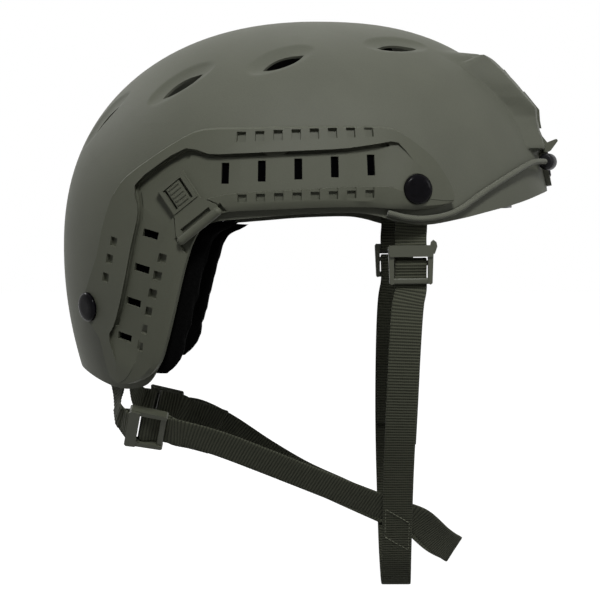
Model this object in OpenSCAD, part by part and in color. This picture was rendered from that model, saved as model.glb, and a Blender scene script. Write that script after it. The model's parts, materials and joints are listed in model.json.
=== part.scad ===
// Combat helmet with side rails, front shroud, liner and four-point chin harness.
// Frame: +X is the wearer's front, +Y the wearer's left, +Z up.
// Origin: the highest point of the wearer's head, under the crown pad. Millimetres.

/* [Shell] */
// Height of the shell's top above the wearer's head
liner_h = 23; // [21:1:30]
// Half of the shell's widest outer width
shell_half_w = 107; // [104:1:112]
// Reach of the shell's front from the crown axis
shell_front = 126; // [123:1:130]
// Reach of the shell's back from the crown axis
shell_back = 140; // [137:1:145]
// Thickness of the moulded wall
shell_wall = 3; // [2.6:0.2:3.6]
// Length of a side vent
vent_len = 26; // [20:1:30]
// Width of a side vent
vent_w = 9; // [6:1:11]
// Depth of the scoop round a vent
scoop_depth = 1.9; // [1:0.1:2.2]
// How far the front boss stands proud of the shell
boss_h = 5.2; // [4:0.1:5.6]
// Half of the front boss's width
boss_half_w = 37; // [35:1:40]

/* [Rails] */
// Height of a rail's raised borders above the shell
rail_h = 5.8; // [5:0.2:7]
// Height of the channel's floor above the shell
rail_floor_h = 2.8; // [2.4:0.1:3.4]
// Gap between a rail and the shell
seat_gap = 0.3; // [0.25:0.05:0.4]
// Width of a slot in the channel
slot_w = 3.4; // [2.6:0.2:4.2]
// Length of a slot in the upper channel
slot_len = 10.2; // [8:0.2:11]
// Length of a slot in the rear limb
rear_slot_len = 9; // [7:0.2:10]
// Distance between slots
slot_pitch = 17.9; // [16:0.1:18.5]
// Width of a notch in the borders
notch_w = 5; // [4:0.2:6]
// Distance between notches
notch_pitch = 8.8; // [7.8:0.1:9]
// Depth of a notch
notch_depth = 1.6; // [0.8:0.2:2]

/* [Strap clips] */
// Width of a clip's square upper part
clip_w = 17; // [15:0.5:18]
// Thickness of a clip
clip_t = 1.8; // [1.4:0.2:2]
// Running gap round a clip
clip_gap = 0.6; // [0.5:0.1:0.8]
// Length of the hooked lip
lip_len = 28; // [24:1:30]

/* [Fasteners] */
// Diameter of a rail bolt's head
bolt_head_d = 15; // [12:0.5:16]
// Height of a rail bolt's head
bolt_head_h = 2.6; // [2:0.2:3.4]
// Diameter of a rail bolt's shank
bolt_d = 5; // [4:0.5:6]
// Clearance round a shank
hole_gap = 0.3; // [0.2:0.05:0.5]
// Diameter of a nut's flange
nut_d = 15; // [12:0.5:16]
// Diameter of the shroud's screws
screw_d = 4; // [3:0.5:5]

/* [Shroud] */
// Thickness of the shroud plate
shroud_t = 3; // [2.4:0.2:3.4]
// Half of the shroud's greatest width
shroud_half_w = 30; // [28:1:33]
// Width of the socket in the shroud
socket_w = 17; // [14:0.5:19]
// Height of the socket in the shroud
socket_h = 15; // [12:0.5:17]

/* [Cords] */
// Diameter of an elastic cord
cord_d = 3; // [2.4:0.2:3.4]
// Diameter of a cord bead
bead_d = 9; // [7.5:0.5:10]

/* [Liner] */
// Thickness of the front, rear and side pads
pad_t = 14; // [10:1:15]
// Thickness of the pads behind the ear openings
ear_pad_t = 8; // [6:1:9]
// Height of the headband
band_h = 20; // [16:1:22]
// Thickness of the headband
band_t = 1.6; // [1.2:0.2:2]
// Travel of the nape cradle
cradle_travel = 12; // [8:1:14]
// Diameter of the fitting dial
dial_d = 32; // [26:1:34]
// Thickness of the fitting dial
dial_t = 7; // [5:0.5:8]

/* [Harness] */
// Width of the webbing
web_w = 16; // [14:0.5:17]
// Thickness of the webbing
web_t = 1.2; // [1:0.1:1.5]
// Clearance between webbing and buckle
web_gap = 0.4; // [0.3:0.05:0.6]
// Length of a front buckle
buckle_len = 20; // [18:0.5:24]
// Thickness of a buckle's bars
bar_t = 1.9; // [1.5:0.1:2.4]
// Lowest point of the chin strap below the origin
chin_drop = 286; // [275:1:295]

/* [Hidden] */
$fn = 48;

// Colours
od_green = [0.37, 0.38, 0.34];
web_green = [0.22, 0.23, 0.17];
near_black = [0.05, 0.05, 0.06];
cord_green = [0.40, 0.41, 0.37];

// The dome: three quarter curves rise from their own levels to one crown.
crown_x = 11;
length_level = 100;
width_level = 80;
front_round = 2.4;
back_round = 2.25;
side_round = 2.15;
plan_round = 2.1;
widest_x = -8;
dome_floor = -180;
back_tuck = 10;
back_tuck_run = 65;
side_tuck = 6;
side_tuck_run = 90;

function quarter(h, reach, rise, n) = reach * pow(max(0, 1 - pow(max(0, h) / rise, n)), 1 / n);
function tuck(z, level, depth, run) = z < -level ? depth * pow((-level - z) / run, 2) : 0;
function front_x(z, d) =
    crown_x + quarter(z + length_level, shell_front + d, liner_h + length_level + d, front_round);
function back_x(z, d) =
    crown_x - quarter(z + length_level, shell_back + d, liner_h + length_level + d, back_round)
    + tuck(z, length_level, back_tuck, back_tuck_run);
function half_w(z, d) =
    quarter(z + width_level, shell_half_w + d, liner_h + width_level + d, side_round)
    - tuck(z, width_level, side_tuck, side_tuck_run);
function mid_x(z, d) = crown_x + (widest_x - crown_x) * half_w(z, d) / (shell_half_w + d);
function signed_pow(v, n) = sign(v) * pow(abs(v), n);
function reach_x(c, z, d) = c > 0 ? front_x(z, d) - mid_x(z, d) : mid_x(z, d) - back_x(z, d);

// A point of the dome by bearing: 0 is the front, 90 the left, 180 the back. d is the height above the shell.
function dome_at(bearing, z, d) = [
    mid_x(z, d) + reach_x(cos(bearing), z, d) * signed_pow(cos(bearing), 2 / plan_round),
    half_w(z, d) * signed_pow(sin(bearing), 2 / plan_round),
    z
];

// A point of the dome's right side by its place in the side view
function side_y(x, z, d) =
    half_w(z, d)
    * pow(max(0, 1 - pow(abs(x - mid_x(z, d)) / reach_x(x - mid_x(z, d), z, d), plan_round)), 1 / plan_round);
function side_at(x, z, d) = [x, -side_y(x, z, d), z];

// A point of the dome's front by its place in the front view
function front_at(y, z, d) = [
    mid_x(z, d) + reach_x(1, z, d) * pow(max(0, 1 - pow(abs(y) / half_w(z, d), plan_round)), 1 / plan_round),
    y,
    z
];

function unit(v) = v / norm(v);
function side_along(x, z) = unit(side_at(x + 0.5, z, 0) - side_at(x - 0.5, z, 0));
function side_out(x, z) = unit(cross(side_along(x, z), side_at(x, z + 0.5, 0) - side_at(x, z - 0.5, 0)));

// Places children on the right side: local X runs forwards, Y upwards and Z out of the shell.
module on_side(x, z, d, turn = 0) {
    out = side_out(x, z);
    along = side_along(x, z);
    up = cross(out, along);
    p = side_at(x, z, 0) + out * d;
    multmatrix([
        [along[0], up[0], out[0], p[0]],
        [along[1], up[1], out[1], p[1]],
        [along[2], up[2], out[2], p[2]],
        [0, 0, 0, 1]
    ])
        rotate(turn)
            children();
}

module both_sides() {
    children();
    mirror([0, 1, 0])
        children();
}

// A closed dome of rings, from the crown down to its flat floor
module dome(d, around = 48, upper = 15, lower = 4) {
    heights = concat(
        [for (i = [1:upper]) (liner_h + width_level + d) * cos(90 * i / upper) - width_level],
        [for (i = [1:lower]) -width_level + (dome_floor + width_level) * i / lower]
    );
    rings = len(heights);
    points = concat(
        [[crown_x, 0, liner_h + d]],
        [for (z = heights) for (j = [0:around - 1]) dome_at(360 * j / around, z, d)]
    );
    faces = concat(
        [for (j = [0:around - 1]) [0, 1 + (j + 1) % around, 1 + j]],
        [for (i = [0:rings - 2]) for (j = [0:around - 1])
            [1 + i * around + j, 1 + i * around + (j + 1) % around, 1 + (i + 1) * around + (j + 1) % around]],
        [for (i = [0:rings - 2]) for (j = [0:around - 1])
            [1 + i * around + j, 1 + (i + 1) * around + (j + 1) % around, 1 + (i + 1) * around + j]],
        [[for (j = [0:around - 1]) 1 + (rings - 1) * around + j]]
    );
    polyhedron(points = points, faces = faces);
}

// A closed skin over rows of points. Each row is one closed outline with the same number of points.
module skin(rows) {
    n = len(rows[0]);
    m = len(rows);
    polyhedron(
        points = [for (row = rows) for (p = row) p],
        faces = concat(
            [[for (j = [n - 1:-1:0]) j]],
            [for (i = [0:m - 2]) for (j = [0:n - 1]) [i * n + j, i * n + (j + 1) % n, (i + 1) * n + (j + 1) % n]],
            [for (i = [0:m - 2]) for (j = [0:n - 1]) [i * n + j, (i + 1) * n + (j + 1) % n, (i + 1) * n + j]],
            [[for (j = [0:n - 1]) (m - 1) * n + j]]
        )
    );
}

// A smooth curve through a list of points or values, with the given steps between two of them
function spline_at(p, i, t) =
    let (
        last = len(p) - 1,
        a = p[max(0, i - 1)],
        b = p[i],
        c = p[min(last, i + 1)],
        e = p[min(last, i + 2)]
    )
    0.5 * (2 * b + (c - a) * t + (2 * a - 5 * b + 4 * c - e) * t * t + (3 * b - a - 3 * c + e) * t * t * t);
function spline(p, steps) = concat(
    [for (i = [0:len(p) - 2]) for (k = [0:steps - 1]) spline_at(p, i, k / steps)],
    [p[len(p) - 1]]
);

// The direction of a line of points at one of them
function heading(p, i) = unit(p[min(len(p) - 1, i + 1)] - p[max(0, i - 1)]);

// A flat strip along points. Its width lies along the directions in wide.
module ribbon(points, wide, width, thick) {
    skin([
        for (i = [0:len(points) - 1])
            let (
                along = heading(points, i),
                across = unit(wide[i] - along * (wide[i] * along)),
                out = cross(along, across),
                edge = across * width / 2,
                face = out * thick / 2
            )
            [points[i] + edge + face, points[i] + edge - face, points[i] - edge - face, points[i] - edge + face]
    ]);
}

// A round tube along points
module tube(points, d, sides = 8) {
    skin([
        for (i = [0:len(points) - 1])
            let (
                along = heading(points, i),
                across = unit(cross(along, [0, 0, 1])),
                up = cross(across, along)
            )
            [for (j = [0:sides - 1]) points[i] + d / 2 * (across * cos(360 * j / sides) + up * sin(360 * j / sides))]
    ]);
}

// A plate that follows the dome's front. Each row gives a height, how far it reaches below and above the
// shell, and half its width. The foot stands out by the draft on both sides.
module front_plate(rows, across = 14, draft = 0) {
    skin([
        for (row = rows)
            let (foot = row[3] + draft)
            concat(
                [for (j = [across:-1:0]) front_at(row[3] * (2 * j / across - 1), row[0], row[2])],
                [for (j = [0:across]) front_at(foot * (2 * j / across - 1), row[0], row[1])]
            )
    ]);
}

// Shell

// The edge of the shell in the side view, from the brim to the nape and back over the crown
rim = [
    [150, -66], [136, -68.4], [114.7, -76], [94, -81.6], [81, -84.8], [64, -87.8], [50, -86.4], [38, -83.2],
    [26, -81.8], [0, -82.6], [-30, -85.2], [-41, -89.5], [-50, -99], [-57, -115], [-62.5, -136], [-67, -154],
    [-72, -164.5], [-80, -170.5], [-92, -172.4], [-104, -169.5], [-121, -162.5], [-150, -152]
];
rim_steps = 2;

module rim_cut() {
    rotate([90, 0, 0])
        linear_extrude(height = 300, center = true)
            polygon(concat(spline(rim, rim_steps), [[-190, -152], [-190, 80], [190, 80], [190, -66]]));
}

// Each vent: its place in the side view and the turn of its long axis
vents = [[51, 5.5, 4], [-8.5, -4, 32], [-61, -15.5, 44], [-104, -32, 52]];
scoop_len = vent_len + 18;
scoop_w = vent_w + 12;
scoop_rise = 6;
scoop_shift = 2.2;

module lens(length, width) {
    r = (length * length / 4 + width * width / 4) / width;
    intersection() {
        translate([0, r - width / 2])
            circle(r = r, $fn = 20);
        translate([0, width / 2 - r])
            circle(r = r, $fn = 20);
    }
}

module vent_cut(v) {
    on_side(v[0], v[1], 0, v[2])
        hull() {
            translate([0, 0, -shell_wall - 6])
                linear_extrude(height = 0.1)
                    lens(vent_len - 4, vent_w - 2);
            translate([0, 0, 3])
                linear_extrude(height = 0.1)
                    lens(vent_len, vent_w);
        }
    on_side(v[0], v[1], scoop_rise - scoop_depth, v[2])
        translate([0, scoop_shift, 0])
            scale([scoop_len / 2, scoop_w / 2, scoop_rise])
                sphere(r = 1, $fn = 12);
}

// The raised boss at the front: heights, the share of the boss's full height there, and how much narrower
// than its greatest width it is. Its face rises straight to a corner over the socket, as the plate's does.
boss_low = -47;
boss_form = [
    [boss_low, 0.3, 4], [-41, 0.3, 4.5], [-36, 0.3, 5], [-30, 0.61, 6], [-25, 1, 5.5], [-20, 0.815, 3.5],
    [-15, 0.71, 2.5], [-10, 0.687, 2], [-5, 0.74, 2], [-1, 0.8, 2], [3, 0.8, 2]
];
boss_draft = 9;
fuse = 1.5;

// The hood over the plate's upper edge: heights and how far it stands above the shell
hood_form = [[-4.4, 7.6], [-1, 8], [1.5, 8.3], [3.7, 7.5], [5, 3.8], [6.4, 0.4]];
hood_low = -3.4;
hood_lip = -2.2;
hood_top = 6.3;
hood_half_w = boss_half_w + 7;

module front_boss() {
    front_plate([for (b = boss_form) [b[0], -fuse, boss_h * b[1], boss_half_w - b[2]]], 12, boss_draft);
    intersection() {
        hull() {
            translate([84, -hood_half_w, hood_low])
                cube([0.1, 2 * hood_half_w, hood_top - hood_low]);
            translate([99, 6 - hood_half_w, hood_lip])
                cube([0.1, 2 * (hood_half_w - 6), hood_top - hood_lip]);
            translate([120, 18 - hood_half_w, hood_lip])
                cube([0.1, 2 * (hood_half_w - 18), hood_top - hood_lip]);
        }
        front_plate([for (h = hood_form) [h[0], -fuse, h[1], hood_half_w]], 12);
    }
}

module shell() {
    color(od_green)
        difference() {
            intersection() {
                union() {
                    dome(0);
                    front_boss();
                }
                rim_cut();
            }
            dome(-shell_wall, 36, 10, 3);
            both_sides() {
                for (v = vents)
                    vent_cut(v);
                for (b = bolt_places)
                    on_side(b[0], b[1], 0)
                        cylinder(d = bolt_d + 2 * hole_gap, h = 40, center = true, $fn = 20);
            }
            for (s = screw_places)
                at_front(s)
                    cylinder(d = screw_d + 2 * hole_gap, h = 60, center = true, $fn = 16);
        }
}

// Fasteners

// Places of the front and rear rail bolts in the side view
bolt_places = [[57, -70.5], [-105.5, -129.5]];
head_seat = rail_h - 0.8;
nut_t = 1.8;
nut_body_t = 2.6;
nut_seat = 0.9;
web_seat = shell_wall + 1.5 + web_t / 2;
nut_face = web_seat + web_t / 2 + 0.3;

module rail_bolt(b) {
    on_side(b[0], b[1], head_seat + 0.1)
        rotate_extrude()
            polygon([
                [0, -head_seat - nut_face - nut_t - nut_body_t],
                [bolt_d / 2, -head_seat - nut_face - nut_t - nut_body_t],
                [bolt_d / 2, 0],
                [bolt_head_d / 2, 0],
                [bolt_head_d / 2, bolt_head_h * 0.4],
                [bolt_head_d / 2 - 0.7, bolt_head_h * 0.72],
                [bolt_head_d / 2 - 2.2, bolt_head_h * 0.9],
                [bolt_head_d / 2 - 4.4, bolt_head_h],
                [0, bolt_head_h]
            ]);
}

module front_bolts() {
    color(near_black)
        both_sides()
            rail_bolt(bolt_places[0]);
}

module rear_bolts() {
    color(near_black)
        both_sides()
            rail_bolt(bolt_places[1]);
}

module bolt_nut(b) {
    on_side(b[0], b[1], -nut_face - nut_t)
        difference() {
            union() {
                cylinder(d = nut_d, h = nut_t);
                translate([0, 0, -nut_body_t])
                    cylinder(d = bolt_d + 4, h = nut_body_t + 0.01);
            }
            cylinder(d = bolt_d + 0.2, h = 30, center = true);
        }
}

module front_bolt_nuts() {
    color(near_black)
        both_sides()
            bolt_nut(bolt_places[0]);
}

module rear_bolt_nuts() {
    color(near_black)
        both_sides()
            bolt_nut(bolt_places[1]);
}

// Rails

// Stations along the right rail: outer edge x and z, inner edge x and z, start and end of the channel as
// shares of the way across, and how much of the channel's depth there is.
rail_stations = [
    [75.4, -73.2, 74.9, -76.2, 0.33, 0.78, 0],
    [74.0, -68.6, 71.8, -77.9, 0.33, 0.78, 0],
    [70.4, -61.6, 65.2, -79.4, 0.33, 0.78, 0],
    [65.2, -53.8, 57.2, -80.3, 0.33, 0.78, 0],
    [57.0, -46.8, 49.4, -80.0, 0.30, 0.76, 0],
    [48.4, -41.0, 43.0, -79.8, 0.19, 0.73, 0.5],
    [40.0, -39.2, 36.0, -79.2, 0.24, 0.75, 1],
    [24.0, -39.2, 22.0, -79.2, 0.30, 0.753, 1],
    [6.0, -39.3, 5.0, -79.6, 0.323, 0.769, 1],
    [-30.0, -39.8, -28.0, -81.0, 0.34, 0.784, 1],
    [-47.0, -40.2, -38.0, -82.0, 0.33, 0.80, 1],
    [-57.5, -44.0, -43.0, -84.0, 0.18, 0.78, 1],
    [-74.0, -54.0, -47.0, -86.5, 0.17, 0.72, 1],
    [-87.0, -63.0, -51.0, -93.0, 0.19, 0.70, 1],
    [-92.0, -69.0, -53.0, -97.0, 0.34, 0.71, 1],
    [-95.5, -75.0, -54.5, -101.0, 0.40, 0.72, 1],
    [-100.0, -89.0, -57.8, -112.5, 0.42, 0.71, 1],
    [-103.0, -103.0, -61.0, -126.0, 0.43, 0.70, 1],
    [-109.5, -121.0, -64.4, -140.0, 0.46, 0.72, 1],
    [-110.5, -131.5, -67.0, -149.5, 0.43, 0.73, 0.9],
    [-101.5, -143.5, -69.6, -157.0, 0.24, 0.68, 0.6],
    [-98.4, -154.0, -74.0, -163.0, 0.33, 0.66, 0],
    [-96.0, -161.5, -80.5, -167.3, 0.33, 0.66, 0],
    [-93.4, -166.0, -88.0, -168.6, 0.33, 0.66, 0]
];
rail_steps = 2;
edge_h = 1.6;
foot_h = 3.4;
groove_cut = 0.035;
bevel = 0.06;

// Across the rail: how far across, and how high above the shell
function rail_section(c, e, depth) =
    let (floor_h = rail_h - (rail_h - rail_floor_h) * depth)
    [
        [0, seat_gap], [0, edge_h], [bevel, rail_h - 0.2], [c, rail_h],
        [c - groove_cut * depth, floor_h], [e, floor_h], [e + 0.012, rail_h - 0.3],
        [0.93, rail_h - 0.5], [1, foot_h], [1, seat_gap], [0.72, seat_gap], [0.5, seat_gap],
        [0.33, seat_gap], [0.2, seat_gap], [0.1, seat_gap]
    ];

module rail_body() {
    skin([
        for (s = spline(rail_stations, rail_steps))
            [for (p = rail_section(s[4], s[5], s[6]))
                let (x = s[0] + (s[2] - s[0]) * p[0], z = s[1] + (s[3] - s[1]) * p[0])
                side_at(x, z, 0) + side_out(x, z) * p[1]]
    ]);
}

// A moulded pocket with drawn walls, cut from a height downwards
module pocket(length, width, depth, top) {
    hull() {
        translate([-length / 2 + 0.3, -width / 2 + 0.3, top - depth])
            cube([length - 0.6, width - 0.6, 0.1]);
        translate([-length / 2, -width / 2, top + 2])
            cube([length, width, 0.1]);
    }
}

slot_count = 5;
first_slot = [-36.7, -62.6];
slot_slope = 3.3;
notch_count = 8;
first_top_notch = [-28.4, -45.8];
first_low_notch = [-28, -73.4];
notch_slope = 2.4;
rear_slots = [[-74, -92.5], [-78.5, -109.8], [-83, -126.8], [-87.6, -144.6]];
rear_slot_turn = -14;
rear_notches = [[-66.8, -104.5], [-69.2, -113.3], [-71.6, -122.1], [-74, -130.9], [-76.3, -139.7], [-78.6, -148.5]];
back_notches = [[-91.5, -96.3], [-93.7, -105], [-95.9, -114.3]];
rear_notch_turn = -14;

module rail_cuts() {
    for (i = [0:slot_count - 1])
        on_side(first_slot[0] + slot_pitch * i, first_slot[1] + slot_pitch * i * tan(slot_slope), 0)
            translate([-slot_w / 2, -slot_len / 2, -1])
                cube([slot_w, slot_len, rail_h + 4]);
    for (p = rear_slots)
        on_side(p[0], p[1], 0, rear_slot_turn)
            translate([-rear_slot_len / 2, -slot_w / 2, -1])
                cube([rear_slot_len, slot_w, rail_h + 4]);
    for (i = [0:notch_count - 1]) {
        on_side(first_top_notch[0] + notch_pitch * i, first_top_notch[1] + notch_pitch * i * tan(notch_slope), 0)
            pocket(notch_w, notch_w + 0.7, notch_depth, rail_h);
        on_side(first_low_notch[0] + notch_pitch * i, first_low_notch[1] + notch_pitch * i * tan(notch_slope), 0)
            pocket(notch_w, notch_w + 0.7, notch_depth, rail_h - 0.4);
    }
    for (p = rear_notches)
        on_side(p[0], p[1], 0, rear_notch_turn)
            pocket(notch_w, notch_w, notch_depth, rail_h - 0.4);
    for (p = back_notches)
        on_side(p[0], p[1], 0, rear_notch_turn)
            pocket(notch_w, notch_w, notch_depth, rail_h);
    for (b = bolt_places)
        on_side(b[0], b[1], 0) {
            cylinder(d = bolt_d + 2 * hole_gap, h = 40, center = true, $fn = 20);
            translate([0, 0, head_seat])
                cylinder(d = bolt_head_d + 0.8, h = 10, $fn = 32);
        }
    clip_room();
}

module rail() {
    difference() {
        rail_body();
        rail_cuts();
    }
}

module right_rail() {
    color(od_green)
        rail();
}

module left_rail() {
    color(od_green)
        mirror([0, 1, 0])
            rail();
}

// Strap clips

// The clip lies flat over the rail's corner: local X runs along the lip, Y up towards the clip's root.
clip_place = [-59, -72.6];
clip_turn = 37;
clip_lift = rail_floor_h + 0.5;
clip_neck = clip_w / 2 + 0.4;
lip_y = -20.5;
lip_r = 2.2;

// The deep pocket between the clip's root and the rail's corner border: its length and width
root_pocket = [30, 4.4];

module on_clip() {
    on_side(clip_place[0], clip_place[1], clip_lift, clip_turn)
        children();
}

module clip_outline(grow) {
    offset(delta = grow)
        polygon([
            [-clip_w / 2, clip_w / 2], [clip_w / 2, clip_w / 2], [clip_w / 2, -clip_neck],
            [lip_len / 2 - 1, lip_y + 4], [lip_len / 2 - 1, lip_y], [1 - lip_len / 2, lip_y],
            [1 - lip_len / 2, lip_y + 4], [-clip_w / 2, -clip_neck]
        ]);
}

// The space that the clip sits and swings in
module clip_room() {
    on_clip()
        translate([0, 0, -0.4])
            linear_extrude(height = 14)
                clip_outline(clip_gap);
    on_clip()
        translate([-lip_len / 2 - 1, lip_y - 6, -2.6])
            cube([lip_len + 2, 9.5, 20]);
    on_clip()
        translate([-root_pocket[0] / 2, clip_w / 2 + 3.4, 1 - clip_lift])
            cube([root_pocket[0], root_pocket[1], 12]);
}

rib_count = 5;
rib_pitch = 2.3;
clip_rise = 0.9;

module clip() {
    on_clip() {
        difference() {
            linear_extrude(height = clip_t)
                clip_outline(0);
            for (side = [-1, 1])
                translate([side * 4.9 - 0.7, -6.6, -1])
                    cube([1.4, 12.4, 6]);
            translate([-lip_len / 2 + 4.6, lip_y + 2.6, -1])
                cube([lip_len - 9.2, 2.4, 6]);
        }
        translate([0, -0.4, clip_t - 0.1])
            linear_extrude(height = clip_rise)
                difference() {
                    square([clip_w - 1.6, clip_w - 2.2], center = true);
                    square([clip_w - 5.2, clip_w - 5], center = true);
                }
        for (i = [0:rib_count - 1])
            translate([-3.2, 4.2 - rib_pitch * i, clip_t - 0.1])
                rotate([0, 90, 0])
                    cylinder(r = 0.75, h = 6.4, $fn = 20);
        translate([-lip_len / 2 + lip_r, lip_y, lip_r])
            rotate([0, 90, 0])
                cylinder(r = lip_r, h = lip_len - 2 * lip_r, $fn = 24);
        for (side = [-1, 1])
            translate([side * (lip_len / 2 - lip_r), lip_y, lip_r])
                sphere(r = lip_r, $fn = 24);
    }
}

module right_strap_clip() {
    color(od_green)
        clip();
}

module left_strap_clip() {
    color(od_green)
        mirror([0, 1, 0])
            clip();
}

// Shroud

// The plate lies on the boss. Its lower flange goes down to the brim.
flange_t = 2.8;
flange_half_w = 21;
function boss_at(z) = boss_h * lookup(-z, [for (i = [len(boss_form) - 1:-1:0]) [-boss_form[i][0], boss_form[i][1]]]);
function plate_in(z) = boss_at(z) + seat_gap;
function plate_out(z) = plate_in(z) + shroud_t;

// Places of the shroud's screws: bearing, height and how far their heads sit above the shell
screw_head_d = 7;
screw_head_in = 0.9;
screw_places = [
    [0, -11.5, plate_out(-11.5) - screw_head_in],
    [7.6, -59, flange_t - screw_head_in],
    [-7.6, -59, flange_t - screw_head_in]
];

// Places children on the front: local Z points out of the shell.
module at_front(s) {
    p = dome_at(s[0], s[1], 0);
    along = unit(dome_at(s[0] + 1, s[1], 0) - dome_at(s[0] - 1, s[1], 0));
    out = unit(cross(along, dome_at(s[0], s[1] + 1, 0) - dome_at(s[0], s[1] - 1, 0)));
    up = cross(out, along);
    multmatrix([
        [along[0], up[0], out[0], p[0]],
        [along[1], up[1], out[1], p[1]],
        [along[2], up[2], out[2], p[2]],
        [0, 0, 0, 1]
    ])
        children();
}

// Outlines in the front view: y and z
module front_prism() {
    translate([60, 0, 0])
        rotate([90, 0, 90])
            linear_extrude(height = 100)
                children();
}

// Heights of the plate, how far it reaches below and above the shell, and half its width
shoulder_z = boss_low - seat_gap;
plate_rows = concat(
    [[-66, seat_gap, flange_t, flange_half_w - 4], [-62, seat_gap, flange_t, flange_half_w]],
    [[-55, seat_gap, flange_t, flange_half_w], [shoulder_z - 3, seat_gap, flange_t, flange_half_w]],
    [[shoulder_z - 2.6, seat_gap, plate_out(boss_low), flange_half_w]],
    [[shoulder_z, seat_gap, plate_out(boss_low), flange_half_w]],
    [[shoulder_z + 0.1, plate_in(boss_low), plate_out(boss_low), flange_half_w]],
    [for (p = [[-45, 0], [-41, 0], [-36, 0], [-30, 2], [-25, 4.4], [-20, 7], [-15, 10], [-10, 12.8], [-3.4, 16.6]])
        [p[0], plate_in(p[0]), plate_out(p[0]), shroud_half_w - p[1]]]
);

// The lug that a cord's bead hooks under, in the side view
horn_w = 7;
horn_y = 25;

module shroud_horn() {
    root = [for (z = [-37, -40, -43, -46.4]) [front_at(horn_y, z, plate_in(z) + shroud_t / 2)[0], z]];
    translate([0, horn_y + horn_w / 2, 0])
        rotate([90, 0, 0])
            linear_extrude(height = horn_w) {
                polygon(concat(root, [[130, -48.5], [132.8, -48.5], [133.4, -45], [131.4, -42.4], [127, -37]]));
                hull() {
                    translate([132.4, -46])
                        circle(r = 2.5, $fn = 16);
                    translate([136.9, -42.5])
                        circle(r = 0.9, $fn = 16);
                }
            }
}

// A window with rounded corners, seen from the front
window_r = 1.6;

module window(corners) {
    hull()
        for (c = corners)
            translate(c)
                circle(r = window_r, $fn = 12);
}

side_window = [[14, -18.8], [16.2, -20.4], [20, -29], [14, -32]];

// A raised guide along each side of the socket, which the mount's foot slides between
guide_w = 2;
guide_h = 0.8;

module socket_guide() {
    intersection() {
        front_prism()
            hull()
                for (z = [-34, -16])
                    translate([socket_w / 2 + guide_w / 2 + 0.4, z])
                        circle(d = guide_w, $fn = 8);
        front_plate([for (z = [-37:6:-13]) [z, plate_in(z) + 0.5, plate_out(z) + guide_h, socket_w]], 8);
    }
}

module shroud() {
    color(od_green)
        difference() {
            union() {
                front_plate(plate_rows, 10);
                both_sides() {
                    shroud_horn();
                    socket_guide();
                }
            }
            front_prism() {
                window([for (side = [-1, 1]) for (z = [-32, -32 + socket_h])
                    [side * (socket_w / 2 - window_r), z]]);
                for (side = [-1, 1])
                    window([for (c = side_window) [side * c[0], c[1]]]);
            }
            for (s = screw_places)
                at_front(s) {
                    cylinder(d = screw_d + 0.4, h = 60, center = true, $fn = 16);
                    translate([0, 0, s[2]])
                        hull() {
                            cylinder(d = screw_head_d + 0.6, h = 0.8, $fn = 20);
                            translate([0, 0, 12])
                                cylinder(d = screw_head_d + 1.8, h = 0.1, $fn = 20);
                        }
                }
        }
}

module shroud_screw(s) {
    at_front(s)
        translate([0, 0, s[2] + 0.05])
            rotate_extrude()
                polygon([
                    [0, -s[2] - shell_wall - 4], [screw_d / 2, -s[2] - shell_wall - 4], [screw_d / 2, 0],
                    [screw_head_d / 2, 0], [screw_head_d / 2, 0.8], [screw_head_d / 2 - 1, 1.6], [0, 1.8]
                ]);
}

module shroud_screws() {
    color(near_black)
        for (s = screw_places)
            shroud_screw(s);
}

module shroud_nuts() {
    color("silver")
        for (s = screw_places)
            at_front(s)
                translate([0, 0, -shell_wall - nut_seat - 2.4])
                    difference() {
                        cylinder(d = 10, h = 2.4);
                        translate([0, 0, -1])
                            cylinder(d = screw_d + 0.2, h = 5);
                    }
}

// Elastic cords

// The cord's route over the shell: its place in the side view and the height of its middle above the shell
cord_route = [
    [125.6, -55.2, 5], [120.4, -55.4, 3.9], [115, -57.7, 2.9], [108.2, -61.7, 2.5], [99.3, -67, 2.1],
    [92.6, -71.3, 2], [86, -75.9, 2], [80.9, -79.4, 2], [74.7, -82.3, 2], [67, -84.1, 2], [59.4, -84.8, 2],
    [51.5, -84, 2], [45.4, -82.4, 2], [43.2, -81.9, 2]
];

function cord_at(p) = side_at(p[0], p[1], 0) + side_out(p[0], p[1]) * p[2];

module cord() {
    tube([for (p = spline(cord_route, 2)) cord_at(p)], cord_d);
}

module right_bungee() {
    color(cord_green)
        cord();
}

module left_bungee() {
    color(cord_green)
        mirror([0, 1, 0])
            cord();
}

// The bead sits on the cord's front end and hooks under the shroud's horn.
bead_len = 10;

module bead() {
    start = cord_at(cord_route[0]);
    dir = unit(start - cord_at([cord_route[0][0] - 2, cord_route[0][1], cord_route[0][2]]));
    turn = atan2(dir[1], dir[0]);
    lean = acos(dir[2]);
    translate(start + dir * 0.3)
        rotate([0, lean, turn])
            rotate_extrude(convexity = 4)
                polygon([
                    [0, 0], [bead_d / 2 - 1.4, 0], [bead_d / 2 - 0.3, 1.2], [bead_d / 2, 3],
                    [bead_d / 2, bead_len - 3.4], [bead_d / 2 - 1, bead_len - 1.2], [bead_d / 2 - 2.6, bead_len],
                    [0, bead_len]
                ]);
}

module right_cord_bead() {
    color(near_black)
        bead();
}

module left_cord_bead() {
    color(near_black)
        mirror([0, 1, 0])
            bead();
}

// Liner pads

pad_gap = 0.7;
pad_out = -shell_wall - pad_gap;
pad_rings = [0.4, 0.75, 0.92, 1, 0.98, 0.91, 0.78, 0.58, 0.3];
pad_full = 3;
pad_across = 20;

// How high a pad stands at a share r of the way to its edge: flat towards the shell, crowned towards the head
function pad_rise(i, r) =
    i < pad_full ? 1 - 0.4 * pow(r, 9) : i == pad_full ? 0.45 : 0.36 - 0.36 * pow(1 - pow(r, 2.6), 0.5);
function square_round(a) = pow(pow(abs(cos(a)), 5) + pow(abs(sin(a)), 5), -1 / 5);

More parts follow.
